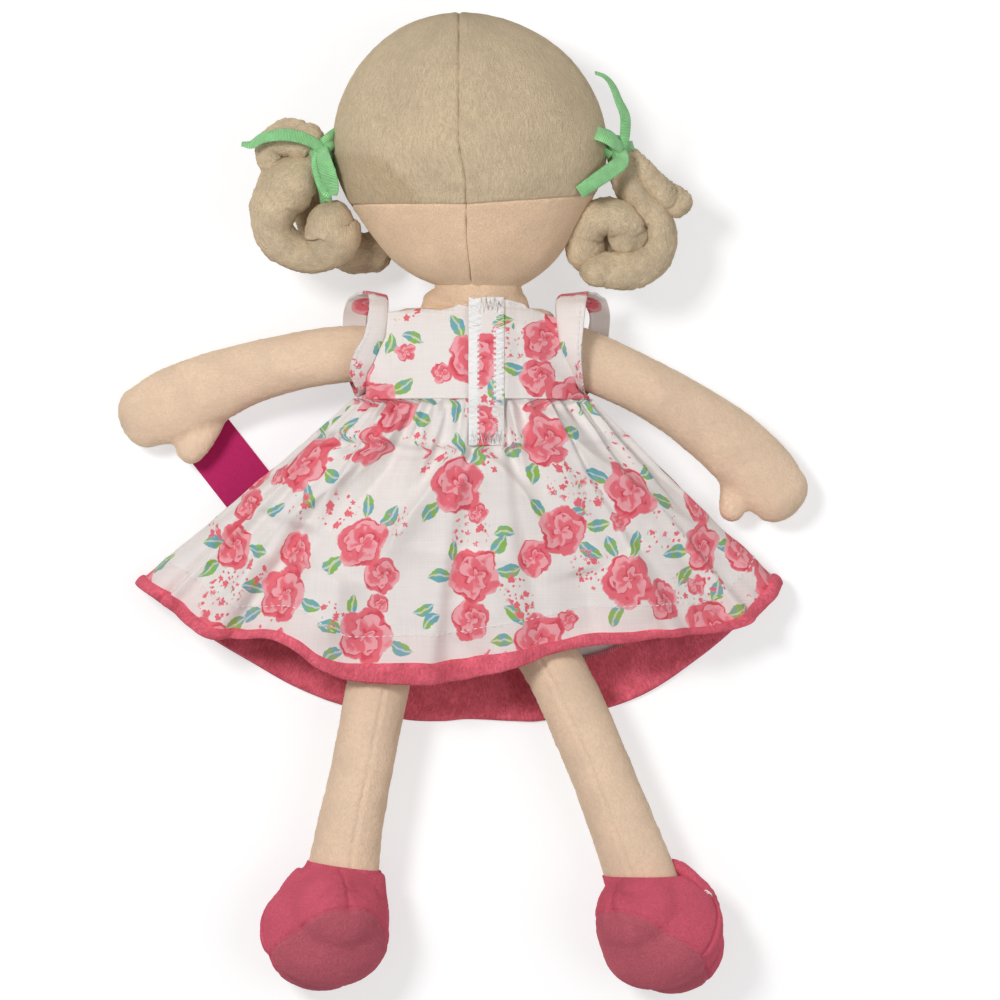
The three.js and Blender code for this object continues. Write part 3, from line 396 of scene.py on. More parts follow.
def thread(name, lines, radius, material, sides=5):
    """Sewing thread: a thin tube along each line of points."""
    points, faces = [], []
    for line in lines:
        line = np.asarray(line, float)
        tangent = unit(np.gradient(line, axis=0))
        side = unit(np.cross(tangent, [0.0, 0.0, 1.0]))
        up = np.cross(side, tangent)
        turn = np.arange(sides) / sides * 2 * math.pi
        size = np.full(len(line), radius)
        size[[0, -1]] *= 0.45
        rings = line[:, None] + size[:, None, None] * (
            side[:, None] * np.cos(turn)[None, :, None] + up[:, None] * np.sin(turn)[None, :, None]
        )
        start = len(points)
        points.extend(rings.reshape(-1, 3))
        quads = grid_faces(len(line), sides, True)[0] + start
        faces.extend(quads[:, ::-1].tolist())
        faces.append([start + k for k in range(sides)])
        faces.append([start + (len(line) - 1) * sides + k for k in reversed(range(sides))])
    mesh = bpy.data.meshes.new(name)
    mesh.from_pydata([tuple(p) for p in points], [], faces)
    return linked(name, mesh, material)


# Materials


class Net:
    """Makes and links the nodes of one tree."""

    def __init__(self, tree):
        self.tree = tree

    def add(self, kind, inputs=None, **settings):
        node = self.tree.nodes.new(kind)
        for key, value in settings.items():
            setattr(node, key, value)
        for key, value in (inputs or {}).items():
            self.set(node.inputs[key], value)
        return node

    def set(self, socket, value):
        if isinstance(value, bpy.types.NodeSocket):
            self.tree.links.new(value, socket)
        else:
            socket.default_value = value

    def math(self, operation, *values, clamp=False):
        node = self.add("ShaderNodeMath", operation=operation, use_clamp=clamp)
        for socket, value in zip(node.inputs, values):
            self.set(socket, value)
        return node.outputs[0]

    def vector(self, operation, *values):
        node = self.add("ShaderNodeVectorMath", operation=operation)
        for socket, value in zip(node.inputs, values):
            self.set(socket, value)
        return node.outputs["Value" if operation in ("LENGTH", "DOT_PRODUCT") else "Vector"]

    def scaled(self, vector, factor):
        node = self.add("ShaderNodeVectorMath", {"Vector": vector, "Scale": factor}, operation="SCALE")
        return node.outputs["Vector"]

    def combine(self, x, y, z=0.0):
        return self.add("ShaderNodeCombineXYZ", {"X": x, "Y": y, "Z": z}).outputs[0]

    def split(self, vector):
        return self.add("ShaderNodeSeparateXYZ", {"Vector": vector}).outputs

    def mix(self, factor, first, second):
        node = self.add("ShaderNodeMix", data_type="RGBA")
        for socket, value in ((node.inputs[0], factor), (node.inputs[6], first), (node.inputs[7], second)):
            if isinstance(value, float) and socket.type == "RGBA":
                value = (value, value, value, 1.0)
            self.set(socket, value)
        return node.outputs[2]

    def range(self, value, low, high, to_low=0.0, to_high=1.0, smooth=True):
        node = self.add(
            "ShaderNodeMapRange",
            {"Value": value, "From Min": low, "From Max": high, "To Min": to_low, "To Max": to_high},
            interpolation_type="SMOOTHSTEP" if smooth else "LINEAR",
        )
        return node.outputs["Result"]

    def noise(self, vector, scale, detail=2.0, roughness=0.5):
        return self.add(
            "ShaderNodeTexNoise",
            {"Vector": vector, "Scale": scale, "Detail": detail, "Roughness": roughness},
        ).outputs

    def group(self, name, inputs):
        node = self.tree.nodes.new("ShaderNodeGroup")
        node.node_tree = bpy.data.node_groups[name]
        for key, value in inputs.items():
            self.set(node.inputs[key], value)
        return node.outputs


def node_group(name, inputs, outputs):
    """A new shader group with named sockets, its net, its inputs and its output node."""
    tree = bpy.data.node_groups.new(name, "ShaderNodeTree")
    for label, kind, default in inputs:
        socket = tree.interface.new_socket(label, in_out="INPUT", socket_type="NodeSocket" + kind)
        if default is not None:
            socket.default_value = default
    for label, kind in outputs:
        tree.interface.new_socket(label, in_out="OUTPUT", socket_type="NodeSocket" + kind)
    net = Net(tree)
    return net, net.add("NodeGroupInput").outputs, net.add("NodeGroupOutput")


def make_pile_group():
    """Short pile: strokes that lie along V, and slow patches where the nap turns."""
    net, given, result = node_group(
        "Pile",
        [
            ("Coordinates", "Vector", None),
            ("Stroke width", "Float", 0.8),
            ("Stroke length", "Float", 3.5),
            ("Patch size", "Float", 14.0),
        ],
        [("Strokes", "Float"), ("Patches", "Float"), ("Height", "Float")],
    )
    place = given["Coordinates"]
    drift = net.vector("SUBTRACT", net.noise(place, 0.12, 2.0)["Color"], (0.5, 0.5, 0.5))
    place_drifted = net.vector("ADD", place, net.scaled(drift, 5.0))
    x, y, z = net.split(place_drifted)
    stretched = net.combine(
        net.math("DIVIDE", x, given["Stroke width"]),
        net.math("DIVIDE", y, given["Stroke length"]),
        net.math("DIVIDE", z, given["Stroke width"]),
    )
    strokes = net.noise(stretched, 1.0, 3.0, 0.6)["Fac"]
    dots = net.noise(place, 1.9, 2.0, 0.6)["Fac"]
    patch_scale = net.math("DIVIDE", 1.0, given["Patch size"])
    patches = net.noise(place, patch_scale, 3.0, 0.55)["Fac"]
    height = net.math("ADD", net.math("MULTIPLY", strokes, 0.6), net.math("MULTIPLY", dots, 0.4))
    net.set(result.inputs["Strokes"], net.range(height, 0.33, 0.67))
    net.set(result.inputs["Patches"], net.range(patches, 0.3, 0.7))
    net.set(result.inputs["Height"], height)


def make_weave_group():
    """Plain weave: crossing threads, with a few thicker ones."""
    net, given, result = node_group(
        "Weave",
        [("Coordinates", "Vector", None), ("Pitch", "Float", 0.45), ("Slub", "Float", 0.5)],
        [("Shade", "Float"), ("Height", "Float")],
    )
    x, y, _z = net.split(given["Coordinates"])
    waves = [
        net.math("SINE", net.math("DIVIDE", net.math("MULTIPLY", value, 2 * math.pi), given["Pitch"]))
        for value in (x, y)
    ]
    cloth = net.math("MULTIPLY", waves[0], waves[1])
    weft, warp = (
        net.noise(net.combine(net.math("MULTIPLY", x, wide), net.math("MULTIPLY", y, long)), 1.0)["Fac"]
        for wide, long in ((0.05, 2.2), (2.2, 0.05))
    )
    slub = net.math("MULTIPLY", net.math("ADD", weft, warp), given["Slub"])
    net.set(result.inputs["Height"], net.math("ADD", net.math("MULTIPLY", cloth, 0.25), slub))
    net.set(result.inputs["Shade"], net.range(slub, 0.3, 0.7))


def turned(net, vector, angle):
    """The vector's place in axes turned by an angle, as two sockets."""
    x, y, _z = net.split(vector)
    cos, sin = net.math("COSINE", angle), net.math("SINE", angle)
    along = net.math("ADD", net.math("MULTIPLY", x, cos), net.math("MULTIPLY", y, sin))
    across = net.math("SUBTRACT", net.math("MULTIPLY", y, cos), net.math("MULTIPLY", x, sin))
    return along, across


def make_bloom_group():
    """A full round bloom: loose painted petals in rings that turn against each other."""
    net, given, result = node_group(
        "Bloom",
        [("From centre", "Vector", None), ("Radius", "Float", 10.0), ("Turn", "Float", 0.0)],
        [("Mask", "Float"), ("Light", "Float")],
    )
    painted = net.noise(given["From centre"], 0.17, 1.0)
    wander = net.vector("SUBTRACT", painted["Color"], (0.5, 0.5, 0.5))
    place = net.vector("ADD", given["From centre"], net.scaled(wander, 3.4))
    along, across = turned(net, place, given["Turn"])
    distance = net.math("DIVIDE", net.vector("LENGTH", place), given["Radius"])
    angle = net.math("ARCTAN2", across, along)
    ring = net.math("FLOOR", net.math("MULTIPLY", distance, 1.75))
    twist = net.math("ADD", net.math("MULTIPLY", angle, 2.5), net.math("MULTIPLY", ring, 1.4))
    scallop = net.math("ABSOLUTE", net.math("SINE", twist))
    edge = net.math("MULTIPLY_ADD", scallop, 0.16, 0.84)
    net.set(result.inputs["Mask"], net.range(net.math("SUBTRACT", edge, distance), -0.03, 0.03))
    rings = net.math("MULTIPLY", distance, 1.75)
    spiral = net.math("SUBTRACT", rings, net.math("MULTIPLY", scallop, 0.4))
    petal = net.math("FRACT", net.math("ADD", spiral, net.math("DIVIDE", angle, math.pi)))
    brush = net.math("MULTIPLY", net.math("SUBTRACT", net.noise(place, 0.18, 2.0)["Fac"], 0.5), 1.5)
    net.set(result.inputs["Light"], net.math("ADD", petal, brush))


def make_leaf_group():
    """A pointed leaf with a pale rib, set at an angle and a distance from a bloom."""
    net, given, result = node_group(
        "Leaf",
        [
            ("From centre", "Vector", None),
            ("Angle", "Float", 0.0),
            ("Distance", "Float", 14.0),
            ("Half length", "Float", 5.5),
            ("Half width", "Float", 2.6),
        ],
        [("Mask", "Float"), ("Rib", "Float")],
    )
    along, across = turned(net, given["From centre"], given["Angle"])
    along = net.math("SUBTRACT", along, given["Distance"])
    share = net.math("DIVIDE", along, given["Half length"])
    curl = net.math("MULTIPLY", net.math("MULTIPLY", share, share), 0.9)
    across = net.math("SUBTRACT", across, curl)
    taper = net.math("SUBTRACT", 1.0, net.math("MULTIPLY", share, share))
    width = net.math("MULTIPLY", taper, given["Half width"])
    inside = net.math("SUBTRACT", width, net.math("ABSOLUTE", across))
    net.set(result.inputs["Mask"], net.range(inside, -0.1, 0.12))
    net.set(result.inputs["Rib"], net.range(net.math("ABSOLUTE", across), 0.5, 0.25))


# Width and height of the cell that a set of posies repeats in, in millimetres
CELL = (72.0, 64.0)
POSY_MASKS = ("Bloom", "Light", "Leaf", "Rib", "Bud", "Fleck")


def make_spray_group():
    """A loose spray of small buds, dots and leaf flecks in a patch at one side of a posy."""
    net, given, result = node_group(
        "Spray",
        [("Coordinates", "Vector", None), ("From middle", "Vector", None), ("Radius", "Float", 10.0)],
        [("Bud", "Float"), ("Fleck", "Float")],
    )
    place = given["Coordinates"]
    ragged = net.math("MULTIPLY", net.math("SUBTRACT", net.noise(place, 0.3, 1.0)["Fac"], 0.5), 5.0)
    far = net.math("ADD", net.vector("LENGTH", given["From middle"]), ragged)
    inside = net.range(net.math("SUBTRACT", given["Radius"], far), -0.8, 0.8)
    bud = 0.0
    for pitch, low, spread, share in ((0.23, 0.27, 0.16, 0.75), (0.48, 0.25, 0.12, 0.62)):
        spots = net.add(
            "ShaderNodeTexVoronoi", {"Vector": place, "Scale": pitch, "Randomness": 0.85}, feature="F1"
        ).outputs
        lot = net.split(spots["Color"])
        offset = net.vector("SUBTRACT", place, spots["Position"])
        x, y, _z = net.split(offset)
        lobes = net.math("SINE", net.math("MULTIPLY", net.math("ARCTAN2", y, x), 5.0))
        plain = net.math("MULTIPLY_ADD", lot[0], spread, low)
        size = net.math("ADD", plain, net.math("MULTIPLY", lobes, 0.045))
        spot = net.range(net.math("SUBTRACT", size, spots["Distance"]), -0.03, 0.03)
        spot = net.math("MULTIPLY", spot, net.math("LESS_THAN", lot[1], share))
        bud = spot if bud == 0.0 else net.math("MAXIMUM", bud, spot)
    flecks = net.add(
        "ShaderNodeTexVoronoi",
        {"Vector": net.vector("MULTIPLY", place, (1.0, 0.45, 1.0)), "Scale": 0.34, "Randomness": 1.0},
        feature="F1",
    ).outputs
    chosen = net.math("LESS_THAN", net.split(flecks["Color"])[2], 0.42)
    fleck = net.math("MULTIPLY", net.range(flecks["Distance"], 0.2, 0.14), chosen)
    net.set(result.inputs["Bud"], net.math("MULTIPLY", bud, inside))
    net.set(result.inputs["Fleck"], net.math("MULTIPLY", fleck, inside))


def make_cluster_group():
    """One posy in each cell of a shifted grid: two blooms, leaves and sprays of small buds."""
    net, given, result = node_group(
        "Posy",
        [
            ("Coordinates", "Vector", None),
            ("Shift", "Vector", (0.0, 0.0, 0.0)),
            ("Large radius", "Float", 11.0),
            ("Small radius", "Float", 7.5),
        ],
        [(label, "Float") for label in POSY_MASKS],
    )
    place = net.vector("ADD", given["Coordinates"], given["Shift"])
    x, y, _z = net.split(place)
    row = net.math("FLOOR", net.math("DIVIDE", y, CELL[1]))
    x = net.math("ADD", x, net.math("MULTIPLY", row, CELL[0] / 2))
    column = net.math("FLOOR", net.math("DIVIDE", x, CELL[0]))
    lots = net.add(
        "ShaderNodeTexWhiteNoise",
        {"Vector": net.combine(column, row, given["Large radius"])},
        noise_dimensions="3D",
    ).outputs
    lot = net.split(lots["Color"])
    local = []
    for value, index, size, spare in ((x, column, CELL[0], lot[0]), (y, row, CELL[1], lot[1])):
        middle = net.math("MULTIPLY", net.math("ADD", index, 0.5), size)
        jitter = net.math("MULTIPLY", net.math("SUBTRACT", spare, 0.5), 13.0)
        local.append(net.math("ADD", net.math("SUBTRACT", value, middle), jitter))
    centre = net.combine(*local)
    heading = net.math("MULTIPLY", lot[2], 2 * math.pi)
    large = net.group("Bloom", {"From centre": centre, "Radius": given["Large radius"], "Turn": heading})
    reach = net.math("SUBTRACT", net.math("ADD", given["Large radius"], given["Small radius"]), 2.0)

    def beside(turn, distance):
        angle = net.math("ADD", heading, turn)
        step = net.combine(
            net.math("MULTIPLY", net.math("COSINE", angle), distance),
            net.math("MULTIPLY", net.math("SINE", angle), distance),
        )
        return net.vector("SUBTRACT", centre, step)

    small = net.group(
        "Bloom",
        {
            "From centre": beside(0.0, reach),
            "Radius": given["Small radius"],
            "Turn": net.math("ADD", heading, 2.0),
        },
    )
    bloom = net.math("MAXIMUM", large["Mask"], small["Mask"])
    light = net.mix(large["Mask"], small["Light"], large["Light"])
    leaf, rib = 0.0, 0.0
    for offset, distance, size in ((1.75, 3.6, 5.6), (2.5, 4.2, 5.0), (-1.5, 3.4, 5.2), (-0.75, 14.5, 4.4)):
        one = net.group(
            "Leaf",
            {
                "From centre": centre,
                "Angle": net.math("ADD", heading, offset),
                "Distance": net.math("ADD", given["Large radius"], distance),
                "Half length": size,
                "Half width": size * 0.5,
            },
        )
        leaf = one["Mask"] if leaf == 0.0 else net.math("MAXIMUM", leaf, one["Mask"])
        ribbed = net.math("MULTIPLY", one["Mask"], one["Rib"])
        rib = ribbed if rib == 0.0 else net.math("MAXIMUM", rib, ribbed)
    sprays = [
        net.group("Spray", {"Coordinates": place, "From middle": beside(turn, 16.5), "Radius": radius})
        for turn, radius in ((3.3, 7.6), (1.45, 5.6))
    ]
    bud = net.math("MAXIMUM", sprays[0]["Bud"], sprays[1]["Bud"])
    fleck = net.math("MAXIMUM", sprays[0]["Fleck"], sprays[1]["Fleck"])
    for label, value in zip(POSY_MASKS, (bloom, light, leaf, rib, bud, fleck)):
        net.set(result.inputs[label], value)


def make_print_group():
    """The cotton's print: three sets of posies and single small flowers, as masks and lights."""
    net, given, result = node_group(
        "Floral print",
        [("Coordinates", "Vector", None)],
        [(label, "Float") for label in ("Bloom", "Light", "Leaf", "Rib", "Leaf tone")],
    )
    place = given["Coordinates"]
    drift = net.vector("SUBTRACT", net.noise(place, 0.35, 2.0)["Color"], (0.5, 0.5, 0.5))
    place = net.vector("ADD", place, net.scaled(drift, 1.9))
    total = {}
    for step, (large, small) in enumerate(((11.0, 8.4), (10.0, 7.4), (11.2, 4.4))):
        shift = (-CELL[0] / 2 * step, -CELL[1] / 3 * step, 0.0)
        posy = net.group(
            "Posy", {"Coordinates": place, "Shift": shift, "Large radius": large, "Small radius": small}
        )
        if not total:
            total = {label: posy[label] for label in POSY_MASKS}
            continue
        for label in POSY_MASKS:
            if label == "Light":
                total[label] = net.mix(posy["Bloom"], total[label], posy[label])
            else:
                total[label] = net.math("MAXIMUM", total[label], posy[label])
    single = net.add(
        "ShaderNodeTexVoronoi", {"Vector": place, "Scale": 0.031, "Randomness": 0.75}, feature="F1"
    ).outputs
    off = net.vector("SUBTRACT", place, single["Position"])
    lot = net.split(single["Color"])
    heading = net.math("MULTIPLY", lot[1], 6.0)
    small = net.group("Bloom", {"From centre": off, "Radius": 4.8, "Turn": heading})
    alone = net.math("MULTIPLY", small["Mask"], net.math("LESS_THAN", lot[0], 0.5))
    light = net.mix(total["Bloom"], net.mix(alone, 0.3, small["Light"]), total["Light"])
    flower = net.math("MAXIMUM", net.math("MAXIMUM", total["Bloom"], total["Bud"]), alone)
    leaf = net.math("MAXIMUM", total["Leaf"], total["Fleck"])
    leaf = net.math("MULTIPLY", leaf, net.math("SUBTRACT", 1.0, flower))
    tone = net.noise(place, 0.2, 2.0)["Fac"]
    net.set(result.inputs["Bloom"], flower)
    net.set(result.inputs["Light"], light)
    net.set(result.inputs["Leaf"], leaf)
    net.set(result.inputs["Rib"], total["Rib"])
    net.set(result.inputs["Leaf tone"], net.range(tone, 0.42, 0.58))


def new_material(name, roughness, sheen=0.0, sheen_colour=(1, 1, 1, 1), specular=0.3):
    """A material with a Principled shader, its net and a place in millimetres from the mesh."""
    material = bpy.data.materials.new(name)
    material.use_nodes = True
    material.node_tree.nodes.clear()
    net = Net(material.node_tree)
    shader = net.add("ShaderNodeBsdfPrincipled")
    shader.inputs["Roughness"].default_value = roughness
    shader.inputs["Specular IOR Level"].default_value = specular
    shader.inputs["Sheen Weight"].default_value = sheen
    shader.inputs["Sheen Roughness"].default_value = 0.45
    shader.inputs["Sheen Tint"].default_value = sheen_colour
    output = net.add("ShaderNodeOutputMaterial")
    net.set(output.inputs["Surface"], shader.outputs[0])
    place = net.scaled(net.add("ShaderNodeTexCoord").outputs["UV"], 1000.0)
    return material, net, shader, place


def bump(net, shader, height, distance, strength=1.0):
    """Feeds a height to the shader's normal."""
    node = net.add("ShaderNodeBump", {"Height": height, "Strength": strength, "Distance": distance})
    net.set(shader.inputs["Normal"], node.outputs[0])


def shade_of(rgb, factor):
    """A screen colour made lighter or darker."""
    return linear([min(1.0, c * factor) for c in rgb])


def tinted(rgb, factors):
    """A screen colour with each channel made stronger or weaker."""
    return [c * factor for c, factor in zip(rgb, factors)]


def plush(name, rgb, width, stroke, patch, contrast, patch_contrast, depth, brushed=0.0):
    """Plush: pile strokes and patches in the colour, a soft sheen, and nap brushed the other way."""
    material, net, shader, place = new_material(
        name, 0.95, sheen=0.35, sheen_colour=shade_of(rgb, 1.2), specular=0.1
    )
    pile = net.group(
        "Pile", {"Coordinates": place, "Stroke width": width, "Stroke length": stroke, "Patch size": patch}
    )
    dull = 1 - patch_contrast
    base = net.mix(pile["Patches"], shade_of(rgb, dull), shade_of(rgb, 1 + patch_contrast))
    low = net.mix(pile["Patches"], shade_of(rgb, dull - contrast), shade_of(rgb, 1 - contrast))
    cloth = net.mix(pile["Strokes"], low, base)
    if brushed:
        turned_nap = net.add("ShaderNodeAttribute", attribute_name="Brushed").outputs["Fac"]
        browner = linear(tinted(rgb, (0.955, 0.925, 0.89)))
        darker = net.mix(pile["Strokes"], shade_of(rgb, 0.9 - contrast), browner)
        cloth = net.mix(net.math("MULTIPLY", turned_nap, brushed), cloth, darker)
    net.set(shader.inputs["Base Color"], cloth)
    bump(net, shader, pile["Height"], depth)
    return material


def make_materials(colours):
    """All the doll's materials, by name."""
    for build in (
        make_pile_group,
        make_weave_group,
        make_bloom_group,
        make_leaf_group,
        make_spray_group,
        make_cluster_group,
        make_print_group,
    ):
        build()
    sole_pink = tinted(colours.pink, (0.92, 1.04, 0.98))
    made = {
        "hair": plush("hair_plush", colours.hair, 0.5, 4.6, 16.0, 0.13, 0.03, 0.0010, brushed=1.0),
        "curl": plush("curl_plush", colours.hair, 0.45, 2.6, 8.0, 0.11, 0.06, 0.0009),
        "skin": plush("skin_plush", colours.skin, 0.7, 1.6, 18.0, 0.05, 0.03, 0.0005),
        "nape": plush("nape_plush", colours.nape, 0.5, 0.8, 15.0, 0.09, 0.03, 0.0005),
        "pink": plush("pink_plush", colours.pink, 0.45, 0.9, 14.0, 0.12, 0.03, 0.0006),
        "sole": plush("sole_plush", sole_pink, 0.45, 0.9, 14.0, 0.15, 0.03, 0.0006),
        # The hem's plush in its lighter pink: painted light for the facing in the shade under the skirt
        "facing": plush("facing_plush", colours.facing, 0.8, 2.2, 10.0, 0.16, 0.10, 0.0008),
    }
    material, net, shader, place = new_material("printed_cotton", 0.9, sheen=0.1, specular=0.15)
    weave = net.group("Weave", {"Coordinates": place})
    floral = net.group("Floral print", {"Coordinates": place})
    ground = net.mix(weave["Shade"], shade_of(colours.cotton, 0.97), shade_of(colours.cotton, 1.0))
    leaf = net.mix(floral["Leaf tone"], linear(colours.leaf_blue), linear(colours.leaf_green))
    leaf = net.mix(net.math("MULTIPLY", floral["Rib"], 0.6), leaf, shade_of(colours.cotton, 0.98))
    deep = linear(tinted(colours.bloom, (0.93, 0.72, 0.77)))
    bloom = net.mix(net.range(floral["Light"], -0.02, 0.24), deep, linear(colours.bloom))
    washed = net.math("MULTIPLY", net.range(floral["Light"], 0.48, 0.8), 0.8)
    bloom = net.mix(washed, bloom, linear(colours.bloom_pale))
    cloth = net.mix(floral["Leaf"], ground, leaf)
    cloth = net.mix(floral["Bloom"], cloth, bloom)
    lined = net.add("ShaderNodeAttribute", attribute_name="Lined").outputs["Fac"]
    cloth = net.mix(net.math("MULTIPLY", lined, 0.06), cloth, linear(colours.facing))
    sewn = net.add("ShaderNodeAttribute", attribute_name="Sewn").outputs["Fac"]
    cloth = net.mix(sewn, cloth, linear(colours.thread))
    behind = net.add("ShaderNodeNewGeometry").outputs["Backfacing"]
    faded = net.mix(0.82, cloth, shade_of(colours.cotton, 0.97))
    net.set(shader.inputs["Base Color"], net.mix(behind, cloth, faded))
    bump(net, shader, weave["Height"], 0.00025)
    made["cotton"] = material

    material, net, shader, place = new_material("white_tape", 0.85, specular=0.2)
    weave = net.group("Weave", {"Coordinates": place, "Pitch": 0.8, "Slub": 0.8})
    tone = net.mix(weave["Shade"], shade_of(colours.thread, 0.94), linear(colours.thread))
    net.set(shader.inputs["Base Color"], tone)
    bump(net, shader, weave["Height"], 0.0004)
    made["tape"] = material

    material, net, shader, place = new_material("sewing_thread", 0.6, specular=0.4)
    grain = net.noise(place, 2.0)["Fac"]
    tone = net.mix(net.range(grain, 0.35, 0.65), shade_of(colours.thread, 0.95), linear(colours.thread))
    net.set(shader.inputs["Base Color"], tone)
    made["thread"] = material

    material, net, shader, place = new_material("green_ribbon", 0.5, sheen=0.2, specular=0.45)
    _x, y, _z = net.split(place)
    ribs = net.math("SINE", net.math("MULTIPLY", y, 2 * math.pi / 0.6))
    faint = net.noise(place, 0.25, 2.0)["Fac"]
    light = net.range(net.math("ADD", net.math("MULTIPLY", ribs, 0.25), faint), 0.2, 0.85)
    tone = net.mix(light, shade_of(colours.ribbon, 0.88), shade_of(colours.ribbon, 1.06))
    net.set(shader.inputs["Base Color"], tone)
    bump(net, shader, ribs, 0.00017)
    made["ribbon"] = material

    material, net, shader, place = new_material("magenta_card", 0.6, specular=0.2)
    inside = net.scaled(net.add("ShaderNodeTexCoord").outputs["Object"], 1000.0)
    grain = net.noise(inside, 1.4, 4.0)["Fac"]
    tone = net.mix(net.range(grain, 0.3, 0.7), shade_of(colours.card, 0.93), linear(colours.card))
    net.set(shader.inputs["Base Color"], tone)
    bump(net, shader, grain, 0.00005)
    made["card"] = material

    material, net, shader, place = new_material("clear_plastic", 0.25, specular=0.5)
    inside = net.scaled(net.add("ShaderNodeTexCoord").outputs["Object"], 1000.0)
    grain = net.noise(inside, 0.8, 2.0)["Fac"]
    clouded, clear = (0.62, 0.62, 0.64, 1.0), (0.78, 0.78, 0.8, 1.0)
    net.set(shader.inputs["Base Color"], net.mix(grain, clouded, clear))
    made["plastic"] = material

    made["felt"] = plush("crimson_felt", colours.flower, 0.5, 0.8, 4.0, 0.12, 0.08, 0.0004)
    made["dark_thread"] = plush("dark_thread", (0.23, 0.16, 0.14), 0.3, 2.5, 4.0, 0.2, 0.05, 0.0003)
    made["seam"] = plush("seam_thread", tinted(colours.hair, (0.82,) * 3), 0.3, 1.5, 4.0, 0.15, 0.05, 0.0002)
    made["rose_thread"] = plush("rose_thread", (0.78, 0.36, 0.4), 0.3, 2.5, 4.0, 0.15, 0.05, 0.0003)
    return made


_made = {}


def finishes():
    """The materials, made once."""
    if not _made:
        _made.update(make_materials(bpy.context.scene.doll_colours))
    return _made


# Head: share of the height down from the crown, share of the half width over the root of the first, and
# the sideways shift as a share of the half width. The crown itself has a row of its own, because
# that root is nothing there
HEAD_RINGS = [
    (down, wide / math.sqrt(down), shift)
    for down, wide, shift in (
        (0.012, 0.219, -0.08),
        (0.05, 0.438, -0.07),
        (0.11, 0.629, -0.05),
        (0.19, 0.788, -0.04),
        (0.29, 0.911, -0.03),
        (0.4, 0.982, -0.025),
        (0.5, 1, -0.02),
        (0.6, 0.965, -0.02),
        (0.692, 0.88, -0.02),
        (0.77, 0.79, -0.01),
        (0.84, 0.695, 0),
        (0.908, 0.584, 0.01),
        (0.96, 0.45, 0.025),
        (0.99, 0.334, 0.044),
        (1, 0.294, 0.05),
    )
]
HEAD_RINGS.insert(0, (0.0, 2.02, -0.08))
# Heights above the waist line of the head's seam with the neck and of the hair's lower edge, and
# how much higher that edge ends at the right side than at the centre seam
NECK_SEAM = 0.043
HAIRLINE = 0.0735
HAIRLINE_RISE = 0.0058
# Where the nap of the hair is brushed the other way: x and height in millimetres
BRUSHED_EDGE = [
    (-60, 137), (-43, 136.5), (-34, 135), (-29, 132.8), (-22.6, 125.8), (-16, 118), (-13, 108),
]
# Height of the head's middle above the floor
HEAD_LIFT = 0.0395
# Places of the centre back seam: share of the half width, and share of the height from the neck
BACK_SEAM = [(-0.1, 0.51), (-0.05, 0.37), (-0.045, 0.17), (0.01, -0.1)]
# The fringe's lower edge across the face, in the same shares, and where its parting lies
FRINGE_EDGE = [
    (-1.2, 0.3), (-0.86, 0.42), (-0.5, 0.6), (-0.1, 0.7), (0.14, 0.72), (0.5, 0.62), (0.86, 0.42), (1.2, 0.3),
]
PARTING = 0.14


def head_place(turn, down, grow=0.0):
    """Points on the head at a turn round it and a share down from the crown."""
    sizes = bpy.context.scene.doll_sizes
    down = np.clip(down, 0, 1)
    _, rate, shift = np.moveaxis(spline(HEAD_RINGS, down), -1, 0)
    wide = np.sqrt(down) * rate
    half_width = wide * sizes.head_half_width + grow * np.minimum(1, wide / 0.3)
    half_depth = wide**0.9 * sizes.head_half_depth + grow * np.minimum(1, wide / 0.3)
    x = MIDDLE_X + shift * sizes.head_half_width - np.cos(turn) * half_width
    y = BASE_Y + NECK_SEAM + sizes.head_height * (1 - down) + grow * np.maximum(0, 1 - 2 * down)
    z = HEAD_LIFT + np.sin(turn) * half_depth
    return np.stack(np.broadcast_arrays(x, y, z), -1)


def turn_at(x, down):
    """The turn round the head at which a ring passes x."""
    sizes = bpy.context.scene.doll_sizes
    _, rate, shift = np.moveaxis(spline(HEAD_RINGS, np.clip(down, 0, 1)), -1, 0)
    half_width = np.maximum(np.sqrt(np.clip(down, 0, 1)) * rate * sizes.head_half_width, 1e-6)
    return np.arccos(np.clip((MIDDLE_X + shift * sizes.head_half_width - x) / half_width, -1, 1))


def head_panel(name, turns, downs, material, seams, grow, seed, pile):
    """A sewn panel of the head. turns and downs are grids, and seams the distances to its seams."""
    place = head_place(turns, downs, grow)
    thing = grid_object(name, place, material, flip=True)
    points, out = points_of(thing), normals_of(thing)
    if np.mean(np.sum(out * (points - [MIDDLE_X, 0.137, HEAD_LIFT]), 1)) < 0:
        thing.data.flip_normals()
        out = normals_of(thing)
    valley = np.zeros(len(points))
    for distance, depth, width in seams:
        distance = distance.ravel()
        pucker = 1 + 0.35 * noise(points, 0.0035, seed + 5)
        valley -= depth * pucker * np.exp(-((distance / width) ** 1.5))
        swell = np.exp(-(((distance - 4 * width) / (3 * width)) ** 2))
        valley += 0.14 * depth * swell * (1 + noise(points, 0.005, seed + 6))
    move_points(thing, points + out * valley[:, None])
    roughen(thing, pile, seed)
    return thing


def across_distance(grid, column):
    """Distance in metres of each point of a grid from one of its end columns."""
    steps = np.linalg.norm(np.diff(grid, axis=1), axis=2)
    total = np.concatenate([np.zeros((len(grid), 1)), np.cumsum(steps, 1)], 1)
    return total if column == 0 else total[:, -1:] - total


def along_distance(grid, row):
    """Distance in metres of each point of a grid from one of its end rows."""
    steps = np.linalg.norm(np.diff(grid, axis=0), axis=2)
    total = np.concatenate([np.zeros((1, grid.shape[1])), np.cumsum(steps, 0)], 0)
    return total if row == 0 else total[-1:] - total


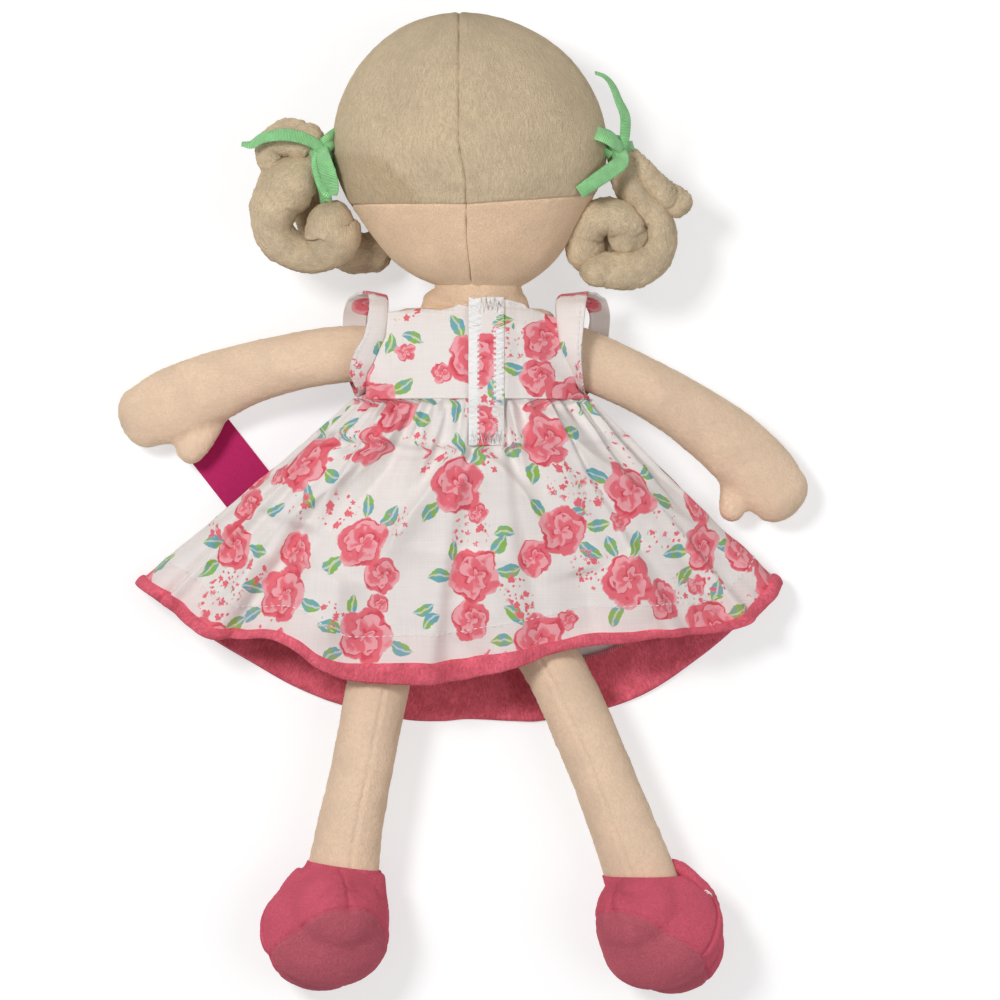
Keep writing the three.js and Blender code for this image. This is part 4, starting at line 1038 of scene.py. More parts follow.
def back_seam_x(y):
    """Where the centre back seam runs at each height."""
    sizes = bpy.context.scene.doll_sizes
    heights = [BASE_Y + NECK_SEAM + share * sizes.head_height for _, share in BACK_SEAM]
    places = [MIDDLE_X + share * sizes.head_half_width for share, _ in BACK_SEAM]
    return np.interp(y, heights[::-1], places[::-1])


def down_at(height):
    """Share down from the crown of a height above the neck seam line."""
    sizes = bpy.context.scene.doll_sizes
    return (NECK_SEAM + sizes.head_height - height) / sizes.head_height


class RAGDOLL_OT_head(bpy.types.Operator):
    """Make the head: plush panels with sewn seams, a plain stitched face and a small flower"""

    bl_idname = "ragdoll.head"
    bl_label = "Head"

    def execute(self, context):
        sizes, finish = context.scene.doll_sizes, finishes()
        self.back(sizes, finish)
        height = np.linspace(0.002, sizes.head_height - 0.001, 160)
        down = 1 - height / sizes.head_height
        seam = head_place(turn_at(back_seam_x(BASE_Y + NECK_SEAM + height), down), down, -0.0006)
        seam += 0.00022 * noise(seam, 0.004, 19)[:, None]
        piece = thread("back_seam_thread", [seam], 0.00019, finish["seam"])
        settle(piece, "head", "hair_plush")
        self.front(sizes, finish)
        self.face(finish)
        self.flower(finish)
        return {"FINISHED"}

    def back(self, sizes, finish):
        """The hair and the nape behind, each in a left and a right panel."""
        steps = np.linspace(0, 1, 120)
        toward = 0.35 * steps + 0.65 * steps**2
        fine = np.linspace(0, 1, 150)
        fine = 0.3 * fine + 0.7 * (1 - (1 - fine) ** 2)
        for side, shares, column in (("left", 1 - toward[::-1], -1), ("right", toward, 0)):
            rise = HAIRLINE_RISE * shares if side == "right" else 0.0012 * (1 - shares)
            edge = down_at(HAIRLINE + rise)[None, :]
            hair_downs = edge * (np.sin(fine * math.pi / 2) ** 1.6)[:, None]
            nape_downs = edge + (1 - edge) * toward[:, None]
            for region, downs, material, grow, slot in (
                ("hair_back", hair_downs, finish["hair"], 0.0001, "hair_plush"),
                ("nape", nape_downs, finish["nape"], -0.0001, "skin_plush"),
            ):
                y = BASE_Y + NECK_SEAM + sizes.head_height * (1 - downs)
                seam = turn_at(back_seam_x(y), downs)
                side_turn = -0.05 if side == "left" else math.pi + 0.05
                turns = side_turn + (seam - side_turn) * (shares if side == "left" else 1 - shares)[None, :]
                place = head_place(turns, downs)
                low = region == "nape"
                seams = [
                    (across_distance(place, column), 0.00045 if low else 0.0008, 0.0005),
                    (along_distance(place, 0 if low else -1), 0.0005, 0.0005),
                ]
                pile = sizes.pile * (0.2 if low else 0.32)
                piece = head_panel(f"{region}_{side}_panel", turns, downs, material, seams, grow, 11, pile)
                if not low and side == "left":
                    points = points_of(piece)
                    limit = np.interp(points[:, 0], *np.array(BRUSHED_EDGE).T * MM)
                    ragged = 0.0006 * noise(points, 0.0012, 17)
                    mark(piece, "Brushed", smooth_step((limit + ragged - points[:, 1] + 0.002) / 0.0045))
                settle(piece, "head", slot, f"{region}_{side}", fill=0.8)

    def front(self, sizes, finish):
        """The face and the two halves of the fringe, on the side that the doll lies on."""

        def edge_down(turn):
            low, high = np.zeros_like(turn), np.ones_like(turn)
            xs = [MIDDLE_X + share * sizes.head_half_width for share, _ in FRINGE_EDGE]
            ys = [BASE_Y + NECK_SEAM + share * sizes.head_height for _, share in FRINGE_EDGE]
            for _ in range(30):
                middle = (low + high) / 2
                place = head_place(turn, middle)
                above = place[..., 1] > np.interp(place[..., 0], xs, ys)
                low, high = np.where(above, middle, low), np.where(above, high, middle)
            return (low + high) / 2

        across = np.linspace(0, -math.pi, 120)[None, :]
        rows = np.linspace(0, 1, 90)[:, None]
        edge = edge_down(across)
        down = edge + (1 - edge) * rows
        turns = np.repeat(across, 90, 0)
        place = head_place(turns, down)
        seams = [(along_distance(place, 0), 0.0006, 0.0008)]
        face = head_panel("face_front", turns, down, finish["skin"], seams, -0.0001, 11, sizes.pile * 0.2)
        settle(face, "head", "skin_plush", "face_panel", "head_stuffing", fill=0.8)
        rows = np.sin(np.linspace(0, math.pi / 2, 80))[:, None] ** 1.6
        share = np.linspace(0, 1, 70)[None, :]
        for side in ("left", "right"):
            turns = -share * math.pi / 2 * np.ones_like(rows)
            for _ in range(12):
                down = edge_down(turns) * rows
                part = -turn_at(MIDDLE_X + PARTING * sizes.head_half_width, down)
                turns = part * share if side == "left" else part + (-math.pi - part) * share
            place = head_place(turns, down)
            seams = [
                (across_distance(place, -1 if side == "left" else 0), 0.0010, 0.0008),
                (along_distance(place, -1), 0.0006, 0.0008),
            ]
            pile = sizes.pile * 0.32
            piece = head_panel(f"fringe_{side}_panel", turns, down, finish["hair"], seams, 0.0001, 11, pile)
            settle(piece, "head", "hair_plush", f"fringe_{side}", fill=0.8)

    def face(self, finish):
        """A plain stitched face: two round eyes, a small smile and lashes."""

        def on_face(x, y):
            down = down_at(y)
            turn = -turn_at(MIDDLE_X + x, down)
            return head_place(turn, down, 0.0003)

        eyes = []
        for centre in (-0.0165, 0.0165):
            for ring in np.linspace(0.2, 1, 5):
                turn = np.linspace(0, 2 * math.pi, 22)
                x = centre + 0.0026 * ring * np.cos(turn)
                eyes.append(on_face(x, 0.0905 + 0.0032 * ring * np.sin(turn)))
            for lash in (-1, 0, 1):
                share = np.linspace(0, 1, 5)
                eyes.append(on_face(centre + (0.0018 * lash) * (1 + share), 0.0935 + 0.0028 * share))
        piece = thread("eye_stitches", eyes, 0.0004, finish["dark_thread"])
        settle(piece, "head", "crimson_felt")
        share = np.linspace(-1, 1, 18)
        mouth = [on_face(0.0085 * share, 0.072 + 0.0035 * share**2 - shift) for shift in (0, 0.0007)]
        piece = thread("mouth_stitches", mouth, 0.0004, finish["rose_thread"])
        settle(piece, "head", "crimson_felt")

    def flower(self, finish):
        """A small fabric flower of gathered petals at the side of the fringe."""
        low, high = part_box("hair_flower")
        centre = np.array((low + high) / 2) + [0.0008, -0.0026, 0]
        outward = unit(np.array([-0.82, 0.12, -0.3]))
        side = unit(np.cross([0, 1.0, 0], outward))
        up = np.cross(outward, side)
        turn = np.linspace(0, 2 * math.pi, 61)[:-1][None, :]
        share = np.linspace(0.02, 1, 12)[:, None]
        petals = np.abs(np.cos(2.5 * turn))
        radius = 0.0052 * share * (0.72 + 0.28 * petals)
        rise = 0.0012 + 0.0016 * np.sin(math.pi * share) * petals + 0.001 * (1 - share)
        grid = (
            centre
            + side * (radius * np.cos(turn))[..., None]
            + up * (radius * np.sin(turn))[..., None]
            + outward * (rise * np.ones_like(turn))[..., None]
        )
        piece = grid_object("hair_flower_petals", grid, finish["felt"], wrap=True, flip=True)
        cap_ends(piece)
        thicken(piece, 0.0009, -1)
        settle(piece, "head", "crimson_felt", "hair_flower")


# Bunches: the place of each tie in millimetres, and the half width of a curl
BUNCH_TIES = {"left": (-54.504, 138.233, 39.5), "right": (60.296, 138.233, 39.5)}
LOCK_HALF_WIDTH = 0.009
# Stations of each curl: x, y and z from the tie as shares of the bunch's length, and the width's share
LOCKS = {
    "left": [
        [
            (-0.02, -0.03, 0, 0.55), (-0.14, -0.14, 0, 0.86), (-0.29, -0.3, 0.01, 1.34),
            (-0.41, -0.489, 0, 1.14), (-0.425, -0.7, -0.02, 0.96), (-0.282, -0.851, -0.05, 0.85),
            (-0.088, -0.898, -0.06, 0.82),
            (0.08, -0.765, 0.02, 1.12), (0.07, -0.65, 0.05, 1.05),
        ],
        [
            (-0.044, 0.02, 0.02, 0.55), (-0.157, 0.075, 0.06, 0.82), (-0.31, 0.095, 0.07, 0.82),
            (-0.43, 0.03, 0.05, 0.78), (-0.43, -0.08, 0.02, 0.72), (-0.33, -0.12, 0, 0.68),
            (-0.2, -0.1, -0.02, 0.62),
        ],
        [
            (0.04, -0.06, -0.23, 0.5), (-0.08, -0.27, -0.3, 0.8), (-0.1, -0.5, -0.42, 0.95),
            (0.06, -0.74, -0.46, 0.95), (0.25, -0.86, -0.46, 0.88), (0.42, -0.87, -0.46, 0.86),
        ],
    ],
    "right": [
        [
            (0, 0, 0, 0.5), (0.085, -0.294, -0.03, 0.68), (0.23, -0.46, -0.05, 0.72),
            (0.35, -0.628, -0.08, 0.72), (0.37, -0.794, -0.1, 0.74), (0.293, -0.94, -0.08, 0.76),
            (0.127, -1.03, -0.02, 0.76),
            (-0.082, -1.044, 0.0, 0.74), (-0.19, -1.05, 0.02, 0.68),
        ],
        [
            (-0.02, -0.78, -0.3, 0.74), (-0.186, -0.92, -0.2, 0.74), (-0.285, -0.857, -0.05, 0.76),
            (-0.29, -0.731, 0, 0.82), (-0.206, -0.614, 0.03, 0.86), (-0.071, -0.575, 0.04, 0.88),
            (0.054, -0.638, 0.03, 0.86), (0.095, -0.742, 0, 0.8),
        ],
        [
            (0.08, -0.06, 0, 0.44), (0.2, -0.2, -0.02, 0.6), (0.38, -0.345, -0.05, 0.66),
            (0.53, -0.46, -0.08, 0.55),
        ],
    ],
}
# Each ribbon: its lean, its twist, then stations of x, y and z as shares of the bunch's length and
# the ribbon's width as a share
RIBBON_BANDS = {
    "left": [
        (0.15, 0.5, [
            (0.0, 0.0, 0.2, 0.65), (-0.09, 0.055, 0.28, 0.72), (-0.2, 0.095, 0.33, 0.8),
            (-0.345, 0.11, 0.34, 0.82), (-0.5, 0.085, 0.31, 0.72), (-0.6, 0.03, 0.27, 0.6),
            (-0.685, 0.035, 0.25, 0.35),
        ]),
        (0.2, 0.3, [
            (0.0, 0.0, 0.2, 0.75), (0.02, -0.1, 0.3, 0.95), (0.055, -0.22, 0.32, 1.1),
            (0.085, -0.33, 0.27, 1.0), (0.09, -0.39, 0.22, 0.7),
        ]),
        (-0.2, -0.3, [
            (0.0, 0.0, 0.18, 0.7), (-0.035, -0.12, 0.25, 0.8), (-0.01, -0.25, 0.26, 0.85),
            (0.03, -0.36, 0.24, 0.7), (0.08, -0.395, 0.22, 0.6),
        ]),
        (0.4, 0.2, [
            (-0.01, -0.04, 0.16, 0.7), (-0.03, -0.2, 0.16, 0.85), (0.02, -0.36, 0.1, 0.9),
            (0.04, -0.49, 0.04, 0.85),
        ]),
        (0.3, 0.3, [(0.0, 0.02, 0.18, 0.6), (0.05, 0.09, 0.2, 0.6), (0.11, 0.15, 0.12, 0.5)]),
    ],
    "right": [
        (0.2, 1.0, [
            (0.05, 0.02, 0.2, 0.45), (0.056, 0.13, 0.24, 0.66), (0.055, 0.27, 0.28, 0.72),
            (0.0, 0.4, 0.34, 0.62), (-0.05, 0.52, 0.38, 0.6), (-0.115, 0.6, 0.4, 0.5),
            (-0.205, 0.635, 0.42, 0.4),
        ]),
        (0.1, -0.3, [
            (0.02, -0.02, 0.2, 0.7), (0.02, -0.12, 0.3, 0.95), (-0.1, -0.22, 0.38, 0.95),
            (-0.2, -0.29, 0.44, 0.9), (-0.34, -0.39, 0.48, 0.85),
        ]),
        (0.5, 0.4, [
            (0.03, 0.0, 0.22, 0.7), (-0.05, 0.06, 0.34, 1.0), (-0.12, 0.1, 0.38, 1.1),
            (-0.19, 0.115, 0.32, 1.05),
            (-0.2, 0.06, 0.2, 0.9), (-0.15, -0.01, 0.16, 0.9), (-0.06, -0.06, 0.15, 0.8),
        ]),
    ],
}


def from_tie(side, shares, bunch_length):
    """Points from shares of the bunch's length about its tie."""
    return np.array(BUNCH_TIES[side]) * MM + np.asarray(shares, float)[:, :3] * bunch_length


def ribbon_strip(points, shares, lean, twist, width):
    """Rows of points across a ribbon that follows a line, with its width turned by lean and twist."""
    line = curve_through(np.column_stack([points, shares]), 60)
    line, wide = line[:, :3], line[:, 3] * width
    tangent = unit(np.gradient(line, axis=0))
    side = unit(np.cross([0, 0, 1.0], tangent))
    up = np.cross(tangent, side)
    angle = lean + twist * np.linspace(0, 1, len(line))[:, None]
    across = side * np.cos(angle) + up * np.sin(angle)
    out = np.cross(tangent, across)
    share = np.linspace(-0.5, 0.5, 11)[None, :, None]
    cup = (0.0007 * (1 - 4 * share**2)) * out[:, None]
    return line[:, None] + across[:, None] * share * wide[:, None, None] + cup


class RAGDOLL_OT_bunches(bpy.types.Operator):
    """Make the two bunches of stuffed curls and their ribbons"""

    bl_idname = "ragdoll.bunches"
    bl_label = "Bunches"

    def execute(self, context):
        sizes, finish = context.scene.doll_sizes, finishes()
        for side in ("left", "right"):
            for number, shares in enumerate(LOCKS[side], 1):
                self.lock(side, number, shares, sizes, finish["curl"])
            self.ribbon(side, sizes, finish["ribbon"])
        return {"FINISHED"}

    def lock(self, side, number, shares, sizes, material):
        """One curl: a plush tube with creases on the inside of its bends."""
        centre = from_tie(side, shares, sizes.bunch_length)
        radius = np.array(shares)[:, 3:4] * LOCK_HALF_WIDTH
        seed = 40 + 7 * number + (3 if side == "right" else 0)
        phases = np.random.default_rng(seed).uniform(0, 2 * math.pi, 3)

        def creases(rows, turn):
            wave = np.sin(21 * rows + phases[0] + 1.9 * np.sin(turn + phases[1]) + 2 * np.sin(5 * rows))
            reach = 0.5 + 0.5 * np.sin(turn + 7 * rows + phases[2])
            deep = 0.001 * np.maximum(wave, 0) ** 4 * reach
            return -deep - 0.0007 * np.sin(2 * turn + 8 * rows + phases[1])

        stations = np.concatenate([centre, radius, radius], 1)
        piece = soft_tube(
            f"{side}_lock_{number}", stations, material, around=40, along=110, cap=9, wrinkle=creases
        )
        roughen(piece, sizes.pile * 1.1, seed, size=0.0013, slack=1.5)
        settle(piece, f"{side}_bunch", "hair_plush", f"{side}_curl_{number}", fill=0.7)

    def ribbon(self, side, sizes, material):
        """The ribbon: a ring round the tie, a knot, a half bow and tails."""
        tie = np.array(BUNCH_TIES[side]) * MM
        width = sizes.ribbon_width
        parts = []
        for lean, twist, shares in RIBBON_BANDS[side]:
            line = from_tie(side, shares, sizes.bunch_length)
            strip = ribbon_strip(line, np.array(shares)[:, 3], lean, twist, width)
            parts.append(grid_object(f"{side}_tail", strip, material))
        first = np.array(LOCKS[side][0][1][:2])
        along = np.append(first / np.linalg.norm(first), 0)
        turn = np.linspace(0, 2 * math.pi, 37)[:-1][None, :, None]
        across = np.cross(along, [0, 0, 1.0])
        share = np.linspace(-0.5, 0.5, 6)[:, None, None]
        ring = (
            tie
            + along * share * width * 0.6
            + (across * np.cos(turn) + np.array([0, 0, 1.0]) * np.sin(turn)) * 0.0062
        )
        parts.append(grid_object(f"{side}_ring", ring, material, wrap=True))
        knot_line = tie + np.array([0, 0, 0.0066]) + along * np.linspace(-0.0028, 0.0028, 12)[:, None]
        half = np.full((12, 1), 0.0031)
        knot = np.concatenate([knot_line, half, half * 0.8], 1)
        parts.append(soft_tube(f"{side}_knot", knot, material, 20, 14, 5))
        piece = joined(parts, f"{side}_bow")
        thicken(piece, 0.0004, 0)
        settle(piece, f"{side}_bunch", "green_ribbon", f"{side}_ribbon")


# Body and limbs: share down from the top, then the shares of the half width and half depth, and the lean
TORSO_RINGS = [
    (0, 0.62, 0.58, 0), (0.02, 0.74, 0.64, 0), (0.08, 0.77, 0.78, 0), (0.18, 0.8, 0.88, 0),
    (0.28, 0.88, 0.95, 0), (0.365, 1, 1, 0), (0.5, 1.01, 0.94, 0.2), (0.65, 0.99, 0.86, 0.5),
    (0.8, 0.95, 0.74, 0.8), (0.93, 0.88, 0.56, 1), (1, 0.78, 0.4, 1),
]
# Heights from the waist line, and the body's lean to the left at its top
TORSO_TOP = 0.035
TORSO_HEIGHT = 0.096
TORSO_LIFT = 0.033
TORSO_HALF_WIDTH = 0.042
TORSO_HALF_DEPTH = 0.0245
BODY_LEAN = -0.0055


def torso_section(y, grow=0.0):
    """Middle, half width and half depth of the body at a height above the waist line."""
    down = np.clip((TORSO_TOP - y) / TORSO_HEIGHT, 0, 1)
    _, wide, deep, lean = np.moveaxis(spline(TORSO_RINGS, down), -1, 0)
    return MIDDLE_X + lean * BODY_LEAN, wide * TORSO_HALF_WIDTH + grow, deep * TORSO_HALF_DEPTH + grow


def on_torso(turn, y, grow=0.0):
    """A point on the body at a turn from its left side over its back."""
    middle, half_width, half_depth = torso_section(y, grow)
    return np.stack(
        np.broadcast_arrays(
            middle - np.cos(turn) * half_width, BASE_Y + y, TORSO_LIFT + np.sin(turn) * half_depth
        ),
        -1,
    )


# Half widths and half depths of the limbs, and the places of their roots in millimetres
ARM_HALF = (0.0114, 0.0096)
LEG_HALF = (0.0122, 0.0118)
THUMB_HALF = 0.0054
SHOULDERS = {"left": (-35.44, 59.333, 31), "right": (43.36, 59.333, 31)}
HIPS = {"left": (-24.79, -31.467, 25), "right": (21.71, -31.467, 25)}
PALM_LIFT = 0.0114
# Stations of a limb: x and y from its root as shares of its length, the share of the way to the
# end's lift, and the shares of the half width and the half depth
ARMS = {
    "left": [
        (0, 0, 0, 0.97, 1), (-0.119, -0.004, 0.1, 0.99, 1.04), (-0.286, -0.03, 0.3, 1, 1.09),
        (-0.453, -0.071, 0.6, 1.07, 1.07), (-0.602, -0.126, 0.85, 1.22, 1.04), (-0.75, -0.19, 1, 1.3, 1),
        (-0.86, -0.235, 1, 1.1, 0.98),
    ],
    "right": [
        (0, 0, 0, 0.97, 1), (0.097, -0.045, 0.1, 1.01, 1.04), (0.267, -0.126, 0.3, 1, 1.09),
        (0.423, -0.215, 0.6, 1.06, 1.07), (0.579, -0.33, 0.85, 1.2, 1.04), (0.7, -0.448, 1, 1.24, 1),
        (0.775, -0.525, 1, 1.08, 0.98),
    ],
}
THUMBS = {
    "left": [(-0.6, -0.2, 1, 1.35, 1.0), (-0.645, -0.3, 1, 1.24, 1.0), (-0.686, -0.36, 1, 1.12, 0.95)],
    "right": [(0.62, -0.4, 1, 1.1, 0.9), (0.6, -0.5, 1, 1.05, 0.95), (0.592, -0.585, 1, 0.95, 0.85)],
}
LEGS = {
    "left": [
        (0, 0, 0, 0.95, 1), (0, -0.07, 0.1, 0.97, 1), (-0.038, -0.2, 0.2, 1, 1),
        (-0.077, -0.362, 0.4, 1, 1.02),
        (-0.132, -0.641, 0.7, 0.99, 1.02), (-0.171, -0.832, 0.9, 1.05, 1.05), (-0.2, -1.02, 1, 1.16, 1.1),
    ],
    "right": [
        (0, 0, 0, 0.95, 1), (0, -0.07, 0.1, 0.97, 1), (0.056, -0.17, 0.2, 1, 1),
        (0.132, -0.3, 0.35, 0.97, 1.02),
        (0.212, -0.467, 0.5, 1, 1.02), (0.282, -0.634, 0.7, 1, 1.02), (0.359, -0.829, 0.9, 1.04, 1.05),
        (0.437, -1.04, 1, 1.14, 1.1),
    ],
}


# Stations of the neck in millimetres, the line of its back seam, and the height at which it is cut
# into a lower and an upper part
NECK_STATIONS = [
    (5.0, 70, 33.6, 22.5, 9.6), (5.4, 76, 35, 21.6, 10.1), (5.9, 80.5, 37.4, 19.7, 11.9),
    (6.1, 84.8, 39.1, 16.8, 13.3), (6.1, 90, 39.8, 17.0, 14.0),
]
NECK_SEAM_LINE = [
    (0.0078, 0.066, 0.0405), (0.0076, 0.072, 0.0447), (0.0072, 0.076, 0.048), (0.0066, 0.08, 0.0509),
    (0.006, 0.084, 0.0523), (0.0055, 0.088, 0.053),
]
NECK_SPLIT = 0.0816
# Creases of a leg: share along it, tilt and depth
LEG_CREASES = [
    (0.33, 0.02, 0.7), (0.45, -0.03, 0.5), (0.6, 0.03, 0.45), (0.74, -0.02, 0.6), (0.86, 0.02, 0.7),
]


def limb_stations(pivot, reach, end_lift, half, shares):
    """Stations of a limb from shares of its length about its pivot."""
    pivot = np.array(pivot) * MM
    return np.array(
        [
            (
                pivot[0] + x * reach, pivot[1] + y * reach, pivot[2] + (end_lift - pivot[2]) * rise,
                half[0] * wide, half[1] * deep,
            )
            for x, y, rise, wide, deep in shares
        ]
    )


def wrap_places(thing, line, radius=0.0115):
    """Texture places round a line: distance along it, and distance round it."""
    points = points_of(thing)
    line = curve_through(line, 80)
    tangent = unit(np.gradient(line, axis=0))
    nearest = np.argmin(((points[:, None] - line[None]) ** 2).sum(2), 1)
    travel = travel_along(line)
    off = points - line[nearest]
    forward = np.sum(off * tangent[nearest], 1)
    side = unit(np.cross([0, 0, 1.0], tangent[nearest]))
    up = np.cross(tangent[nearest], side)
    turn = np.arctan2(np.sum(off * side, 1), np.sum(off * up, 1))
    mesh = thing.data
    corner = np.zeros(len(mesh.loops), np.int32)
    mesh.loops.foreach_get("vertex_index", corner)
    starts = np.zeros(len(mesh.polygons), np.int32)
    mesh.polygons.foreach_get("loop_start", starts)
    totals = np.zeros(len(mesh.polygons), np.int32)
    mesh.polygons.foreach_get("loop_total", totals)
    first = turn[corner[np.repeat(starts, totals)]]
    u = turn[corner]
    u = u - 2 * math.pi * np.round((u - first) / (2 * math.pi))
    layer = mesh.uv_layers.get("UVMap") or mesh.uv_layers.new(name="UVMap")
    values = np.stack([u * radius, (travel[nearest] + forward)[corner]], 1)
    layer.data.foreach_set("uv", values.astype(np.float32).ravel())


def seam_crease(thing, line, depth, width, seed):
    """Draws the surface in along a sewn seam, with small puckers on both sides."""
    points, out = points_of(thing), normals_of(thing)
    line = curve_through(line, 160)
    step = ((points[:, None] - line[None]) ** 2).sum(2)
    distance = np.sqrt(step.min(1))
    along = step.argmin(1) / 160
    pucker = 1 + 0.3 * np.sin(along * 160) * noise(points, 0.006, seed)
    height = -depth * pucker * np.exp(-((distance / width) ** 1.5))
    height += 0.2 * depth * np.exp(-(((distance - 2.6 * width) / (1.6 * width)) ** 2))
    move_points(thing, points + out * height[:, None])


class RAGDOLL_OT_body(bpy.types.Operator):
    """Make the stuffed body, neck, arms and legs"""

    bl_idname = "ragdoll.body"
    bl_label = "Body and limbs"

    def execute(self, context):
        sizes, finish = context.scene.doll_sizes, finishes()
        self.torso(finish["skin"])
        self.neck(finish["nape"], sizes)
        for side in ("left", "right"):
            self.arm(side, sizes, finish["skin"])
            self.leg(side, sizes, finish["skin"])
        return {"FINISHED"}

    def torso(self, material):
        """The stuffed body under the dress."""
        y = TORSO_TOP - TORSO_HEIGHT * np.linspace(0.004, 1, 90)
        turn = np.linspace(0, 2 * math.pi, 97)[:-1] - math.pi / 2
        grid = on_torso(turn[None, :], y[:, None], -0.0004)
        piece = grid_object("stuffed_body", grid, material, wrap=True, flip=True)
        cap_ends(piece)
        roughen(piece, 0.0002, 61)
        settle(piece, "root", "skin_plush", "torso", fill=0.8)

    def neck(self, material, sizes):
        """The stuffed neck, a little wrinkled under the head, in a lower and an upper part."""
        def creases(rows, turn):
            return -0.0005 * np.exp(-(((rows - 0.6 - 0.03 * np.sin(turn * 2)) / 0.05) ** 2))

        stations = np.array(NECK_STATIONS) * MM
        piece = soft_tube("stuffed_neck", stations, material, 64, 40, 5, wrinkle=creases)
        seam_crease(piece, NECK_SEAM_LINE, 0.0006, 0.0008, 66)
        roughen(piece, sizes.pile * 0.6, 65)
        top = piece.copy()
        top.data, top.name = piece.data.copy(), "stuffed_neck_top"
        bpy.context.scene.collection.objects.link(top)
        for part, label in ((piece, "low"), (top, "high")):
            work = opened(part)
            sliced(work, (0, NECK_SPLIT, 0), (0, 1, 0), clear_low=label == "high", clear_high=label == "low")
            work.to_mesh(part.data)
            work.free()
            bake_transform(part)
            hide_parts("neck")

    def arm(self, side, sizes, material):
        """A stuffed arm with a mitten hand, fused with its thumb."""
        stations = limb_stations(SHOULDERS[side], sizes.arm_length, PALM_LIFT, ARM_HALF, ARMS[side])
        halves = (THUMB_HALF, THUMB_HALF)
        thumb = limb_stations(SHOULDERS[side], sizes.arm_length, PALM_LIFT, halves, THUMBS[side])
        piece = soft_tube(f"{side}_stuffed_arm", stations, material, 40, 110, 9, flat_start=True)
        other = soft_tube(f"{side}_thumb_part", thumb, material, 24, 30, 8)
        joined([piece, other], piece.name)
        fused(piece, 0.0011, 16)
        line = stations[:, :3]
        roughen(piece, sizes.pile * 0.45, 71 if side == "left" else 75, size=0.0013, slack=1.3)
        wrap_places(piece, line)
        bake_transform(piece)
        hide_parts(f"{side}_arm")

    def leg(self, side, sizes, material):
        """A stuffed leg with a seam down its back."""
        pivot_z = HIPS[side][2] * MM
        stations = limb_stations(HIPS[side], sizes.leg_length, pivot_z, LEG_HALF, LEGS[side])
        phase = 0.6 if side == "left" else 2.4

        def creases(rows, turn):
            total = 0 * rows * turn
            for at, tilt, deep in LEG_CREASES:
                near = np.exp(-(((rows - at - tilt * np.sin(turn + phase)) / 0.012) ** 2))
                total = total - 0.0004 * deep * near * (0.5 + 0.5 * np.sin(turn + 9 * at + phase))
            return total

        name = f"{side}_stuffed_leg"
        piece = soft_tube(name, stations, material, 96, 200, 8, flat_start=True, wrinkle=creases)
        seam = stations[1:, :3].copy()
        seam[:, 0] += 0.0028 if side == "left" else -0.0035
        seam[:, 2] += stations[1:, 4] * 0.96
        seam_crease(piece, seam, 0.0008, 0.0006, 83)
        roughen(piece, sizes.pile * 0.45, 81 if side == "left" else 85, size=0.0013, slack=1.3)
        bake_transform(piece)
        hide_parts(f"{side}_leg")


# Shoes: share along the foot, then the shares of its half width and half height
SHOE_STATIONS = [(-0.42, 0.72, 0.74), (-0.1, 0.96, 0.98), (0.2, 1.02, 1), (0.45, 0.84, 0.8)]
# The shoe's half length, half width and half height, the length of its round ends as a share of
# the first, the sole seam's distance from the middle, and how far the toe points down
SHOE_HALF = (0.031, 0.0248, 0.0235)
SHOE_CAP = 0.5
SOLE_OFFSET = 0.008
FOOT_PITCH = math.radians(55)
# Height and lift of the shoe's rim behind the ankle, in millimetres, and its slope
RIMS = {"left": ((-140.6, 25), -0.14), "right": ((-144.6, 25), 0.0)}
# Place of a foot's middle from the hip, in shares of the leg's length, and how far the foot turns out
FEET = {"left": ((-0.249, -1.187), math.radians(20)), "right": ((0.482, -1.197), math.radians(-41))}


# The strap's start along the foot and its width
STRAP_START, STRAP_WIDTH = 0.005, 0.010
# In millimetres, the line of the strap's folded end, and of the thread on it
STRAP_END = [
    (79.5, -140.4, 21), (84.5, -141.2, 25), (90.5, -146.2, 26), (95.5, -151.8, 25), (98.2, -156.6, 22),
]
STRAP_STITCH = [(93.6, -150.8, 27.3), (95.2, -150.2, 28.6), (96, -151.6, 27.2)]


def shoe_axes(side):
    """The toe, sole and side directions of a foot."""
    turn = FEET[side][1]
    cos, sin = math.cos(turn), math.sin(turn)
    toe = np.array([0, -math.cos(FOOT_PITCH), -math.sin(FOOT_PITCH)])
    sole = np.array([0, -math.sin(FOOT_PITCH), math.cos(FOOT_PITCH)])
    spin = np.array([[cos, 0, sin], [0, 1, 0], [-sin, 0, cos]])
    toe, sole = spin @ toe, spin @ sole
    return toe, sole, np.cross(sole, toe)


def shoe_grid(side, leg_length, grow, around=120):
    """Points on the shoe from the heel end to the toe end."""
    toe, sole, across = shoe_axes(side)
    shares, _turn = FEET[side]
    hip = np.array(HIPS[side]) * MM
    sizes = curve_through(SHOE_STATIONS, 60)
    cap = 30
    bend = (np.arange(cap) + 0.3) / cap * math.pi / 2
    stations = np.concatenate([np.repeat(sizes[:1], cap, 0), sizes, np.repeat(sizes[-1:], cap, 0)])
    rest = np.concatenate([np.sin(bend), np.ones(60), np.sin(bend)[::-1]])
    push = np.concatenate([-np.cos(bend), np.zeros(60), np.cos(bend)[::-1]])
    push = push * (SHOE_CAP * SHOE_HALF[0] + grow)
    turn = turns_round(around)
    middle = toe[None, :] * (stations[:, 0] * SHOE_HALF[0] + push)[:, None]
    wide, high = (((stations[:, axis] * SHOE_HALF[axis] + grow) * rest)[:, None] for axis in (1, 2))
    grid = (
        middle[:, None]
        - across * (np.cos(turn)[None, :] * wide)[..., None]
        + sole * (np.sin(turn)[None, :] * high)[..., None]
    )
    lift = -grid[..., 2].min() - 0.0005 - grow
    centre = np.array([hip[0] + shares[0] * leg_length, hip[1] + shares[1] * leg_length, lift])
    return grid + centre, centre


